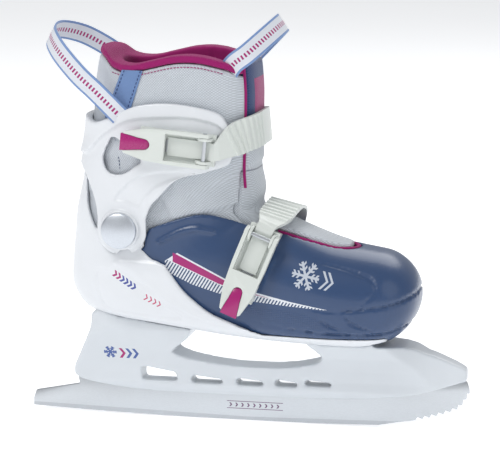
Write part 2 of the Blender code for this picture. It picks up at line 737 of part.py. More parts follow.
def cuff_outline():
    rear = [graded(-125.0, 171.5), graded(-125.0, 204.5)]
    top = outline([(-103.0, 204.0), (-95.0, 201.0), (-83.0, 205.2), (-69.5, 211.7), (-59.4, 214.4),
                   (-45.9, 215.6), (-32.4, 214.7), (-18.9, 212.2), (-10.8, 209.2), (-6.8, 204.6),
                   (-3.0, 196.0), (-2.0, 186.0), (-5.0, 176.5)], 2)
    arm = outline([(-8.8, 174.5), (-22.3, 170.5), (-32.4, 168.2), (-40.5, 164.5), (-49.3, 155.5),
                   (-56.0, 147.9), (-59.4, 139.5)], 2)
    lobe = arc(PIVOT, 17.3, 8.0, -150.0, 10)
    back = outline([(-93.0, 131.0), (-92.7, 139.0), (-93.8, 148.0), (-97.0, 157.0), (-101.5, 165.5),
                    (-107.0, 171.5)], 2)
    return rear + top + arm + lobe + back


def cuff_window():
    corners = [(-79.6, 192.4), (-85.0, 187.6), (-88.2, 180.0), (-87.6, 173.8), (-84.4, 169.4),
               (-79.6, 168.0), (-72.9, 169.3), (-66.1, 174.0), (-62.5, 179.0)]
    return [tuple(point) for point in smooth_curve([graded(x, z) for x, z in corners], 2, True)]


def lug_rooms(side, inner):
    """The space that the ankle lug and the wing need inside the cuff, as the cuff turns."""
    rooms = []
    place = Matrix.Translation(Vector((PIVOT[0], 0.0, PIVOT[1])) * MM)
    for step in range(4):
        degrees = -FLEX_BACK + (FLEX_FORWARD + FLEX_BACK) * step / 3
        disc = side_plate(arc(PIVOT, 30.0 + 0.6 * step, 0.0, 337.5, 15), 15.0 * side, 70.0 * side)
        room = within(boot(inner + LUG_ROOM + 0.07 * step, 0.0, SHELL_WALL + 3.0 * GAP), disc)
        room.transform(place @ Matrix.Rotation(math.radians(-degrees), 4, "Y") @ place.inverted())
        rooms.append(room)
    return rooms


def make_cuff(cuff):
    inner = SHELL_WALL + 2.0 * GAP
    mesh = minus(boot(inner + SHELL_WALL), boot(inner))
    mesh = within(mesh, side_plate(cuff_outline(), -70.0, 70.0))
    centre = (PIVOT[0], 0.0, PIVOT[1])
    for side in (-1.0, 1.0):
        start = graded_width(31.5) + SHELL_WALL + 3.0 * GAP
        boss = rod(centre, (0, side, 0), start, PIVOT_FACE, PIVOT_BOSS_RADIUS)
        mesh = joined(mesh, minus(boss, boot(inner + 0.5, 0.0, SHELL_WALL + GAP)))
    for side in (-1.0, 1.0):
        mesh = minus(mesh, *lug_rooms(side, inner))
    mesh = minus(mesh, rod(centre, (0, 1, 0), -70.0, 70.0, PIVOT_BOLT_RADIUS + GAP))
    mesh = minus(mesh, side_plate(cuff_window(), -70.0, 70.0))
    finish("cuff", mesh, material("cuff_plastic", WHITE, 0.3), cuff, 30.0)


def make_pivots(root):
    steel = material("pivot_steel", STEEL, 0.25, 1.0)
    centre = (PIVOT[0], 0.0, PIVOT[1])
    inside = lug_inner_face()
    for name, side in (("lateral", -1.0), ("medial", 1.0)):
        axis = (0, side, 0)
        washer_in = inside - GAP - PIVOT_WASHER_THICKNESS
        bolt = ((washer_in - 1.5, PIVOT_HEAD_RADIUS), (washer_in - GAP, PIVOT_HEAD_RADIUS),
                (washer_in - GAP, PIVOT_BOLT_RADIUS), (PIVOT_FACE + 0.9, PIVOT_BOLT_RADIUS))
        finish("pivot_bolt_" + name, turned(bolt, centre, axis), steel, root)
        ring = rod(centre, axis, washer_in, inside - GAP, PIVOT_WASHER_RADIUS)
        hole = rod(centre, axis, washer_in - 5.0, inside + 5.0, PIVOT_BOLT_RADIUS + GAP)
        finish("pivot_washer_" + name, minus(ring, hole), steel, root)
        start = PIVOT_FACE + GAP
        dome = ((start, PIVOT_CAP_RADIUS), (start + 1.4, PIVOT_CAP_RADIUS),
                (start + 2.6, PIVOT_CAP_RADIUS * 0.9), (start + 3.7, PIVOT_CAP_RADIUS * 0.6),
                (start + PIVOT_CAP_HEIGHT, PIVOT_CAP_RADIUS * 0.2))
        socket = rod(centre, axis, start - 1.0, start + 1.2, PIVOT_BOLT_RADIUS + GAP)
        finish("pivot_cap_" + name, minus(turned(dome, centre, axis), socket), steel, root)


def lug_inner_face():
    """Distance from the middle at which a flat washer clears the ankle lug's inner side."""
    widths = [ring_width(PIVOT[0] + dx, PIVOT[1] + dz) for dx in (-8.0, 0.0, 8.0) for dz in (-8.0, 0.0, 8.0)]
    return min(widths)


def ring_width(x, z):
    """Half width of the lining's outside at a side-view point, from the station fan."""
    best = None
    for index in range(len(STATIONS) - 1):
        for step in range(12):
            t = step / 12
            low = Vector(graded(*STATIONS[index][0])).lerp(Vector(graded(*STATIONS[index + 1][0])), t)
            high = Vector(graded(*STATIONS[index][1])).lerp(Vector(graded(*STATIONS[index + 1][1])), t)
            line = (high - low).normalized()
            rel = Vector((x, z)) - low
            miss = abs(rel.x * line.y - rel.y * line.x)
            along = 2.0 * rel.dot(line) / (high - low).length - 1.0
            if abs(along) < 1.0 and (best is None or miss < best[0]):
                power = STATIONS[index][4] if along > 0.0 else STATIONS[index][3]
                half = graded_width(STATIONS[index][2] * (1.0 - t) + STATIONS[index + 1][2] * t)
                best = (miss, half * (1.0 - abs(along) ** power) ** (1.0 / power))
    return best[1]


# ---------------------------------------------------------------- size adjustment

def button_face():
    """Distance from the middle of the wing's outside at the size button."""
    return ring_width(*BUTTON) + 2.0 * (SHELL_WALL + GAP)


def make_size_button(root, button_body):
    centre = (BUTTON[0], 0.0, BUTTON[1])
    inner_face = button_face() + GAP
    outer_face = inner_face + BUTTON_THICKNESS
    cap = ((inner_face, BUTTON_RADIUS), (outer_face - 0.8, BUTTON_RADIUS),
           (outer_face, BUTTON_RADIUS * 0.8))
    finish("size_button", turned(cap, centre, (0, 1, 0)), material("button_plastic", MAGENTA, 0.35),
           button_body)
    latch_in = inner_face - GAP - BUTTON_TRAVEL - SHELL_WALL - 1.8
    latch = rod(centre, (0, 1, 0), latch_in, inner_face - GAP, LATCH_RADIUS)
    finish("size_latch", latch, material("latch_steel", STEEL, 0.3, 1.0), button_body)
    start = latch_in - GAP - BUTTON_TRAVEL - SPRING_WIRE
    coil = coil_points(centre, start, start - SPRING_LENGTH, SPRING_RADIUS, 2)
    finish("size_spring", swept_tube(coil, SPRING_WIRE, 6), material("spring_steel", STEEL, 0.3, 1.0), root)


def coil_points(centre, start, end, radius, turns):
    """A helix along +Y."""
    steps = turns * 10
    points = []
    for step in range(steps + 1):
        angle = 2.0 * math.pi * step / 10
        y = start + (end - start) * step / steps
        points.append(Vector((centre[0] + radius * math.cos(angle), y, centre[2] + radius * math.sin(angle))))
    return points


def swept_tube(points, radius, sides):
    """A round wire through the points, with flat ends."""
    rings = []
    side = None
    for index, point in enumerate(points):
        ahead = points[min(index + 1, len(points) - 1)] - points[max(index - 1, 0)]
        ahead.normalize()
        side = ahead.orthogonal().normalized() if side is None else (side - ahead * side.dot(ahead)).normalized()
        up = ahead.cross(side)
        ring = []
        for corner in range(sides):
            angle = 2.0 * math.pi * corner / sides
            ring.append(point + (side * math.cos(angle) + up * math.sin(angle)) * radius)
        rings.append(ring)
    return skin(rings)


# ---------------------------------------------------------------- soft boot

TONGUE_HALF = 23.5
COLLAR_RIM = ((-118.0, 251.0), (-92.0, 246.5), (-82.0, 239.0), (-70.0, 237.0), (-56.0, 240.0), (-40.0, 243.5),
              (-24.0, 243.5), (-8.0, 239.5), (0.0, 236.0), (14.0, 236.0))


def rim_outline(raise_by):
    """The collar's top edge from back to front, closed through the far front."""
    points = outline([(x, z + raise_by) for x, z in COLLAR_RIM], 2)
    return points + [(FAR, points[-1][1])]


def tongue_box(gap, low, high):
    half = TONGUE_HALF - gap
    return box((-30.0, -half, low), (FAR, half, high))


def make_liner(root, toe, cuff):
    fabric = material("liner_mesh", MESH_GREY, 0.85)
    inner = boot(-LINER_WALL)
    lower = minus(within(boot(0.0), side_plate(lower_region(GAP), -70.0, 70.0)), inner)
    slot_low = graded(0.0, 120.0)[1]
    lower = minus(lower, box((-20.0, -TONGUE_HALF, slot_low), (FAR, TONGUE_HALF, FAR)))
    centre = (PIVOT[0], 0.0, PIVOT[1])
    pocket = lug_inner_face() - PIVOT_WASHER_THICKNESS - 3.0 * GAP - 1.7
    for side in (-1.0, 1.0):
        lower = minus(lower, rod(centre, (0, side, 0), pocket, 60.0, PIVOT_WASHER_RADIUS + 2.0 * GAP))
    spring_room = button_face() - 2.0 * SHELL_WALL - LINER_WALL
    lower = minus(lower, rod((BUTTON[0], 0.0, BUTTON[1]), (0, 1, 0), spring_room, 60.0, LATCH_RADIUS + 2.0 * GAP))
    moved_toe = toe_wall(GAP, SIZE_TRAVEL)
    moved_toe.transform(Matrix.Translation((SIZE_TRAVEL * MM, 0.0, 0.0)))
    finish("liner_lower", minus(lower, moved_toe), fabric, root, 40.0)

    inner = boot(-LINER_WALL)
    front = box((TOE_SPLIT + GAP / 2.0, -70.0, 0.0), (FAR, 70.0, FAR))
    finish("liner_toe", minus(within(boot(0.0), front), inner), fabric, toe, 40.0)

    extra = UPPER_LINER_EXTRA
    inner = boot(-LINER_WALL)
    upper = within(boot(extra), side_plate(upper_region(GAP, rim_outline(-3.0)), -70.0, 70.0))
    upper = minus(upper, inner, tongue_box(-GAP, 0.0, 300.0))
    finish("liner_upper", upper, fabric, cuff, 40.0)

    inner = boot(-LINER_WALL)
    tongue = within(boot(extra), side_plate(upper_region(GAP, rim_outline(5.0)), -70.0, 70.0))
    tongue = minus(tongue, inner, box((-FAR, -70.0, 0.0), (-30.0, 70.0, 300.0)))
    for y_from, y_to in ((-70.0, -TONGUE_HALF), (TONGUE_HALF, 70.0)):
        tongue = minus(tongue, box((-40.0, y_from, 0.0), (FAR, y_to, 300.0)))
    finish("tongue_upper", tongue, material("tongue_fabric", MESH_GREY, 0.8), cuff, 40.0)

    inner = boot(-LINER_WALL)
    tongue = minus(within(boot(0.0), side_plate(lower_region(GAP), -70.0, 70.0)), inner)
    tongue = within(tongue, box((-19.5, -TONGUE_HALF + GAP, slot_low + GAP), (FAR, TONGUE_HALF - GAP, FAR)))
    finish("tongue_lower", tongue, material("tongue_fabric", MESH_GREY, 0.8), root, 40.0)

    start = LINER_WALL + GAP
    inner = boot(-start - COLLAR_THICKNESS)
    pad_low = graded(0.0, 214.0)[1]
    pad = within(boot(-start), side_plate(upper_region(GAP, rim_outline(1.0)), -70.0, 70.0))
    pad = minus(within(pad, box((-FAR, -70.0, pad_low), (FAR, 70.0, 300.0))), inner)
    pad = minus(pad, tongue_box(-GAP, 0.0, 300.0))
    finish("collar_pad", pad, material("collar_fabric", MAGENTA, 0.8), cuff, 40.0)


FOOTBED_HEEL = (-100.0, 83.2)
FOOTBED_FRONT = (15.0, 72.4)


def make_footbed(root):
    """A flat-topped insole on the lining's floor."""
    heel = graded(*FOOTBED_HEEL)
    front = graded(*FOOTBED_FRONT)
    up = FOOTBED_THICKNESS
    slab = [heel, front, (front[0], front[1] + up), (heel[0], heel[1] + up)]
    mesh = within(boot(-LINER_WALL - GAP), side_plate(slab, -60.0, 60.0))
    finish("footbed", mesh, material("footbed_foam", (0.30, 0.31, 0.34), 0.9), root, 30.0)


def ribbon(path, thickness):
    """A flat band along (centre, across, half width) entries, with its outside on the left."""
    rings = []
    for index, (centre, across, half) in enumerate(path):
        ahead = path[min(index + 1, len(path) - 1)][0] - path[max(index - 1, 0)][0]
        across = (across - ahead * across.dot(ahead) / ahead.length_squared).normalized()
        out = across.cross(ahead).normalized()
        depth = thickness[index] if isinstance(thickness, list) else thickness
        rings.append([centre - across * half, centre + across * half,
                      centre + across * half + out * depth, centre - across * half + out * depth])
    return skin(rings)


def web_path(points, across):
    """A smooth loop of webbing with its width turning from the first to the last direction."""
    centres = smooth_curve([Vector(point) for point in points], 3)
    path = []
    for index, centre in enumerate(centres):
        share = index / (len(centres) - 1) * (len(across) - 1)
        first = int(min(share, len(across) - 2))
        direction = Vector(across[first]).lerp(Vector(across[first + 1]), share - first)
        path.append((centre, direction, WEB_WIDTH / 2.0))
    return path


def placed(points):
    """Graded three-dimensional points."""
    out = []
    for x, y, z in points:
        gx, gz = graded(x, z)
        out.append((gx, graded_width(y), gz))
    return out


def make_loops(cuff):
    web = material("loop_webbing", (0.75, 0.77, 0.82), 0.8)
    rear = placed([(-82.0, -40.3, 213.0), (-92.0, -40.0, 222.0), (-104.0, -37.5, 232.5), (-119.0, -28.0, 246.0),
                   (-129.0, -10.0, 254.5), (-129.0, 10.0, 256.5), (-118.0, 27.0, 252.0), (-104.0, 36.0, 243.0),
                   (-92.0, 39.8, 234.0)])
    turn = ((0.70, 0.0, 0.71), (0.66, 0.0, 0.75), (0.45, 0.0, 0.89), (0.45, 0.0, 0.89), (0.60, 0.0, 0.80))
    finish("rear_loop", ribbon(web_path(rear, turn), WEB_THICKNESS), web, cuff, 50.0)
    front = placed([(-12.0, -39.0, 226.0), (-4.0, -37.0, 236.0), (6.0, -31.0, 247.0), (17.0, -19.0, 258.0),
                    (23.0, -3.0, 264.5), (20.0, 14.0, 263.0), (8.0, 28.0, 252.0), (-4.0, 36.5, 239.0),
                    (-12.0, 39.0, 229.0)])
    turn = ((-0.80, 0.0, 0.60), (-0.75, 0.0, 0.66), (-0.55, 0.0, 0.83), (-0.60, 0.0, 0.80), (-0.80, 0.0, 0.60))
    finish("front_loop", ribbon(web_path(front, turn), WEB_THICKNESS), web, cuff, 50.0)


# ---------------------------------------------------------------- ratchet buckles

def buckle_frame(pin, tail, pin_line):
    """Matrix of a buckle's own frame: x to the tail, y along the pin, z away from the boot."""
    along = (Vector(tail) - Vector(pin)).normalized()
    out = along.cross(Vector(pin_line)).normalized()
    across = out.cross(along)
    frame = Matrix((along, across, out)).transposed().to_4x4()
    frame.translation = Vector(pin)
    return frame


def in_frame(mesh, frame):
    """The mesh moved from a buckle's own frame, in millimetres, to its place."""
    move = frame.copy()
    move.translation = frame.translation * MM
    mesh.transform(move)
    return mesh


def base_shape(frame, conform):
    """Base plate with two ears that hold the pin, hollowed to sit on the shell."""
    plate = box((-6.5, -10.2, -8.0), (43.0, 10.2, BASE_PLATE))
    ear = [(-5.5, -1.0), (7.0, -1.0), (4.0, PIN_HEIGHT + 1.5), (1.5, PIN_HEIGHT + 2.6),
           (-1.5, PIN_HEIGHT + 2.6), (-4.0, PIN_HEIGHT + 1.0)]
    mesh = joined(plate, side_plate(ear, -EAR_OUTER, -EAR_INNER), side_plate(ear, EAR_INNER, EAR_OUTER))
    mesh = minus(mesh, rod((0, 0, PIN_HEIGHT), (0, 1, 0), -20.0, 20.0, PIN_RADIUS + GAP, 12))
    rivet = rod((24.0, 0, 0), (0, 0, 1), -20.0, 20.0, RIVET_RADIUS + GAP, 12)
    head = rod((24.0, 0, 0), (0, 0, 1), BASE_PLATE - 1.1, 20.0, RIVET_HEAD_RADIUS + GAP, 16)
    return minus(in_frame(minus(mesh, rivet, head), frame), conform)


def lever_plan():
    """Top view of the lever: wide at the pin and narrower at the tail."""
    side = [(-4.2, BUCKLE_HALF), (20.0, BUCKLE_HALF), (38.0, BUCKLE_HALF - 0.9), (47.0, BUCKLE_TAIL_HALF),
            (BUCKLE_LENGTH - 1.2, BUCKLE_TAIL_HALF - 1.2), (BUCKLE_LENGTH, BUCKLE_TAIL_HALF - 3.0)]
    return side + [(x, -y) for x, y in reversed(side)]


def tab_plan(gap):
    """Top view of the release tab's tongue and thumb edge."""
    front = arc((38.5, 0.0), 3.2 + gap, 270.0, 90.0, 8)
    side = [(44.0, 3.8 + gap), (48.0, 4.6 + gap), (BUCKLE_LENGTH + 1.5, 5.6 + gap)]
    return front + side + [(x, -y) for x, y in reversed(side)]


def lever_shape():
    side = [(-4.2, PIN_HEIGHT - 2.5), (-2.5, PIN_HEIGHT + 2.6), (4.0, LEVER_TOP + 0.6), (20.0, LEVER_TOP),
            (BUCKLE_LENGTH, LEVER_TOP - 1.0), (BUCKLE_LENGTH, LEVER_FLOOR + 0.6), (30.0, LEVER_FLOOR),
            (6.0, LEVER_FLOOR - 1.2), (-2.0, LEVER_FLOOR - 1.2)]
    mesh = within(side_plate(side, -BUCKLE_HALF, BUCKLE_HALF), plan_plate(lever_plan(), 0.0, 20.0))
    fork = box((-10.0, -EAR_OUTER - GAP, -5.0), (25.5, EAR_OUTER + GAP, 20.0))
    mesh = minus(mesh, fork, rod((0, 0, PIN_HEIGHT), (0, 1, 0), -20.0, 20.0, PIN_RADIUS + GAP, 12))
    mesh = minus(mesh, plan_plate(tab_plan(GAP), -5.0, 20.0))
    tab_room = box((TAB_PIN_X - 6.3, -4.8, -5.0), (TAB_PIN_X + 2.2, 4.8, LEVER_TOP - 1.1))
    hole = rod((TAB_PIN_X, 0, tab_pin_height()), (0, 1, 0), -7.2, 7.2, TAB_PIN_RADIUS + GAP, 12)
    return minus(mesh, tab_room, hole)


def tab_pin_height():
    return LEVER_FLOOR + 1.0


def tab_shape():
    """Release tab: a barrel on its pin, a pawl ahead of it and a thumb plate behind."""
    z = tab_pin_height()
    barrel = rod((TAB_PIN_X, 0, z), (0, 1, 0), -3.2, 3.2, 1.75, 12)
    plate_side = [(TAB_PIN_X - 0.5, z - 1.2), (BUCKLE_LENGTH + 1.0, LEVER_FLOOR - 0.2),
                  (BUCKLE_LENGTH + 1.5, LEVER_TOP - 1.2), (44.0, LEVER_TOP - 0.2), (39.0, LEVER_TOP - 0.2),
                  (TAB_PIN_X, z + 1.2)]
    plate = within(side_plate(plate_side, -10.0, 10.0), plan_plate(tab_plan(0.0), 0.0, 20.0))
    link = side_plate([(TAB_PIN_X, z - 1.2), (40.0, LEVER_FLOOR + 0.4), (40.0, LEVER_FLOOR + 1.9),
                       (TAB_PIN_X, z + 1.2)], -2.4, 2.4)
    pawl = side_plate([(TAB_PIN_X, z + 0.8), (TAB_PIN_X - 5.5, z - 0.4), (TAB_PIN_X - 5.0, z - 1.6),
                       (TAB_PIN_X, z - 0.8)], -3.0, 3.0)
    mesh = joined(barrel, link, plate, pawl)
    return minus(mesh, rod((TAB_PIN_X, 0, z), (0, 1, 0), -20.0, 20.0, TAB_PIN_RADIUS + 0.15, 12))


def ladder_path(frame, wrap):
    """The strap from its end inside the buckle, under the pin and round to the far side."""
    centre_height = BASE_PLATE + GAP
    inside = []
    for x in (24.0, 12.0, 0.0, -7.0):
        point = frame @ Vector((x, 0.0, centre_height))
        inside.append((point, frame.to_3x3() @ Vector((0.0, 1.0, 0.0)), LADDER_TONGUE_HALF))
    return inside + wrap


def strap_mesh(path, steps, rib_from, rib_to):
    """A strap with cross ribs between two distances from the wrap's start."""
    centres = smooth_curve([entry[0] for entry in path], steps)
    entries = []
    for index, centre in enumerate(centres):
        first = min(index // steps, len(path) - 2)
        share = index / steps - first
        across = path[first][1].lerp(path[first + 1][1], share)
        half = path[first][2] + (path[first + 1][2] - path[first][2]) * blend_in(share, 0.0, 1.0)
        entries.append((centre, across, half))
    lengths = [0.0]
    for before, after in zip(entries, entries[1:]):
        lengths.append(lengths[-1] + (after[0] - before[0]).length)
    wanted = [(distance, False) for distance in lengths if distance < rib_from or distance > rib_to]
    count = int((rib_to - rib_from) / RIB_PITCH)
    for index in range(count):
        start = rib_from + index * RIB_PITCH
        for shift, raised in ((0.0, False), (0.7, True), (2.3, True), (3.0, False)):
            wanted.append((start + shift, raised))
    wanted.sort()
    stations = []
    thickness = []
    for distance, raised in wanted:
        index = max(i for i, length in enumerate(lengths) if length <= distance)
        index = min(index, len(entries) - 2)
        span = lengths[index + 1] - lengths[index]
        share = min((distance - lengths[index]) / span, 1.0)
        first, second = entries[index], entries[index + 1]
        stations.append((first[0].lerp(second[0], share), first[1].lerp(second[1], share),
                         first[2] + (second[2] - first[2]) * share))
        thickness.append(LADDER_THICKNESS + (RIB_HEIGHT if raised else 0.0))
    return ribbon(stations, thickness)


def tab_spring(frame):
    """A short torsion spring beside the tab's barrel."""
    centre = (TAB_PIN_X, 0.0, tab_pin_height())
    coil = coil_points(centre, 3.7, 4.5, 1.5, 2)
    return in_frame(swept_tube(coil, TAB_SPRING_WIRE, 5), frame)


def rivet_shape(point, out, depth, head_in):
    """A domed rivet whose head sits on the outside."""
    profile = ((-depth, RIVET_RADIUS), (head_in, RIVET_RADIUS), (head_in, RIVET_HEAD_RADIUS),
               (head_in + 0.7, RIVET_HEAD_RADIUS * 0.85), (head_in + 1.2, RIVET_HEAD_RADIUS * 0.4))
    return turned(profile, point, out, 14)


def make_buckle(name, frame, wrap, rib_range, body, lever_body, tab_body, conform):
    """All the pieces of one ratchet buckle and its strap."""
    white = material("buckle_plastic", BUCKLE_WHITE, 0.35)
    steel = material("buckle_steel", STEEL, 0.3, 1.0)
    base = base_shape(frame, conform)
    finish(name + "_base", base, white, body)
    finish(name + "_lever", in_frame(lever_shape(), frame), white, lever_body)
    pin = rod((0, 0, PIN_HEIGHT), (0, 1, 0), -BUCKLE_HALF - 0.5, BUCKLE_HALF + 0.5, PIN_RADIUS, 12)
    finish(name + "_pin", in_frame(pin, frame), steel, body)
    finish(name + "_tab", in_frame(tab_shape(), frame), material("tab_plastic", MAGENTA, 0.3), tab_body)
    tab_pin = rod((TAB_PIN_X, 0, tab_pin_height()), (0, 1, 0), -7.0, 7.0, TAB_PIN_RADIUS, 12)
    finish(name + "_tab_pin", in_frame(tab_pin, frame), steel, lever_body)
    finish(name + "_tab_spring", tab_spring(frame), steel, lever_body)
    path = ladder_path(frame, wrap)
    strap = strap_mesh(path, 4, rib_range[0], rib_range[1])
    end, across, _ = path[-2]
    ahead = path[-1][0] - path[-3][0]
    out = across.cross(ahead).normalized()
    hole = rod(end, out, -10.0, 10.0, RIVET_RADIUS + GAP, 14)
    finish(name + "_strap", minus(strap, hole), white, body)
    rivet = rivet_shape(end, out, 0.0, LADDER_THICKNESS + GAP)
    finish(name + "_strap_rivet", rivet, steel, body)
    rivet = turned(((-1.4, RIVET_RADIUS), (BASE_PLATE - 0.8, RIVET_RADIUS), (BASE_PLATE - 0.8, RIVET_HEAD_RADIUS),
                    (BASE_PLATE - 0.1, RIVET_HEAD_RADIUS)), (24.0, 0.0, 0.0), (0, 0, 1), 14)
    finish(name + "_base_rivet", minus(in_frame(rivet, frame), conform.copy()), steel, body)


CUFF_OUTSIDE = 2.0 * SHELL_WALL + 2.0 * GAP
STRAP_LOW = 187.0
STRAP_RISE = 11.0


def top_wrap():
    """The cuff strap's way round the front of the leg to the medial arm."""
    wrap = []
    for angle in (-46.0, -24.0, 0.0, 24.0, 46.0, 62.0, 78.0, 92.0):
        shown = -angle
        rise = STRAP_RISE * math.cos(math.radians(min(abs(shown), 90.0))) ** 1.5
        z = graded(0.0, STRAP_LOW + rise)[1]
        offset = CUFF_OUTSIDE + GAP + 1.0 - 2.4 * math.cos(math.radians(min(abs(shown), 60.0) * 1.5))
        point = leg_point(shown, z, offset)
        slope = Vector((0.10 * math.cos(math.radians(shown)), 0.0, -1.0))
        wrap.append((point, slope, STRAP_HALF))
    return wrap


def foot_point(x, z_low, z_high, offset, angle):
    """A point on the instep's cross-section, angle in degrees from the top towards the medial side."""
    turn = math.radians(angle)
    half = graded_width(instep_half(x)) + offset
    low = graded(0.0, z_low)[1] - offset
    high = graded(0.0, z_high)[1] + offset
    power = 2.0 / 2.3
    y = half * signed_power(math.sin(turn), power)
    z = (low + high) / 2.0 + (high - low) / 2.0 * signed_power(math.cos(turn), power)
    return Vector((x, y, z))


def instep_half(x):
    return 36.0 + 2.5 * blend_in(x, 0.0, 50.0)


def instep_wrap():
    """The instep strap's way over the tongue and down the medial side."""
    offset = SHELL_WALL + 3.2
    wrap = []
    for angle, x, top in ((-24.0, 22.5, 141.0), (0.0, 25.5, 142.5), (24.0, 25.0, 141.0), (46.0, 21.0, 137.5),
                          (64.0, 15.0, 134.0), (80.0, 9.0, 131.0), (96.0, 4.0, 128.0)):
        x = graded(x, 0.0)[0]
        point = foot_point(x, 66.5, top - SHELL_WALL, offset, angle)
        across = Vector((1.0, 0.0, -0.22))
        wrap.append((point, across, STRAP_HALF))
    return wrap


def joint_empty(name, place, parent):
    """An empty on a joint's axis, which carries the pieces that move with it."""
    empty = bpy.data.objects.new(name, None)
    empty.empty_display_size = 0.01
    bpy.context.collection.objects.link(empty)
    empty.location = Vector(place) * MM
    if parent:
        empty.parent = parent
        empty.matrix_parent_inverse = parent.matrix_world.inverted()
    bpy.context.view_layer.update()
    return empty


def buckle_bodies(name, frame, parent):
    lever = joint_empty(name + "_lever_axis", frame @ Vector((0.0, 0.0, PIN_HEIGHT)), parent)
    tab = joint_empty(name + "_tab_axis", frame @ Vector((TAB_PIN_X, 0.0, tab_pin_height())), lever)
    return lever, tab


def main():
    clear_scene()
    root = joint_empty("root", (0.0, 0.0, 0.0), None)
    toe = joint_empty("toe_slide", (0.0, 0.0, 0.0), root)
    cuff = joint_empty("cuff_axis", (PIVOT[0], 0.0, PIVOT[1]), root)
    button = joint_empty("size_button_axis", (BUTTON[0], button_face(), BUTTON[1]), root)
    make_blade(root)
    make_holder(root)
    make_screws(root)
    make_heel_shell(root)
    make_toe_shell(toe)
    make_cuff(cuff)
    make_pivots(root)
    make_size_button(root, button)
    make_liner(root, toe, cuff)
    make_footbed(root)
    make_loops(cuff)

    top = buckle_frame(placed([(-18.7, -41.6, 186.5)])[0], placed([(-68.0, -43.4, 191.4)])[0], (-0.1, 0.0, -1.0))
    lever, tab = buckle_bodies("top", top, cuff)
    make_buckle("top", top, top_wrap(), (42.0, 78.0), cuff, lever, tab,
                boot(CUFF_OUTSIDE + GAP, 0.0, 0.0))
    low = buckle_frame(placed([(17.0, -34.6, 130.0)])[0], placed([(-1.0, -42.6, 84.5)])[0], (0.95, 0.0, -0.3))
    lever, tab = buckle_bodies("instep", low, toe)
    make_buckle("instep", low, instep_wrap(), (42.0, 72.0), toe, lever, tab,
                boot(SHELL_WALL + 2.0 * GAP, SOLE_DROP))


if __name__ == "__main__":
    main()
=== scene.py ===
"""Size-adjustable ice skate: the finished look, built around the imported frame."""

import json
import math

import bmesh
import bpy
import numpy as np
from bpy.props import FloatProperty, FloatVectorProperty, PointerProperty
from bpy.types import Operator, Panel, PropertyGroup
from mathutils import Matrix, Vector

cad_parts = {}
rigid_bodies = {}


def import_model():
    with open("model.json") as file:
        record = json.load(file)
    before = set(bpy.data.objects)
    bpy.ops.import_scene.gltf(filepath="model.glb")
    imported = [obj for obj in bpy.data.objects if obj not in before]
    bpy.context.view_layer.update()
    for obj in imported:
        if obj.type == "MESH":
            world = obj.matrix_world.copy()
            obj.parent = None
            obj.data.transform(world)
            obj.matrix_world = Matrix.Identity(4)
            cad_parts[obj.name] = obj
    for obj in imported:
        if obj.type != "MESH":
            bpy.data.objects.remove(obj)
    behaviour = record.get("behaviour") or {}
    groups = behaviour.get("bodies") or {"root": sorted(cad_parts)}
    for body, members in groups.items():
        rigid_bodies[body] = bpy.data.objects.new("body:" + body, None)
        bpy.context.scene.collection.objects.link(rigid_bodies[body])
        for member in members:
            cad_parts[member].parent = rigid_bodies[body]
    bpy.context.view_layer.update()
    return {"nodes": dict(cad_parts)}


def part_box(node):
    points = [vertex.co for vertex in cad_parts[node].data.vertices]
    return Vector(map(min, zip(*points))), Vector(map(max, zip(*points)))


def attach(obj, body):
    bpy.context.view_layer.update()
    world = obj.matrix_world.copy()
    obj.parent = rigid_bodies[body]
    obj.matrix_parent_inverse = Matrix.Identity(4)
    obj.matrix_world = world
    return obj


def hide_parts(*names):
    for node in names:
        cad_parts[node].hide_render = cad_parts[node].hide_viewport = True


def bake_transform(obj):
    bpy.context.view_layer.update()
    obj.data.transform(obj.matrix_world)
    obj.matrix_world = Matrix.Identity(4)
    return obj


bl_info = {
    "name": "Ice Skate",
    "version": (1, 0, 0),
    "blender": (4, 5, 0),
    "location": "View3D > Sidebar > Skate",
    "description": "Builds a size-adjustable ice skate and its finishes",
    "category": "Add Mesh",
}

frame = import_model()
MM = 0.001

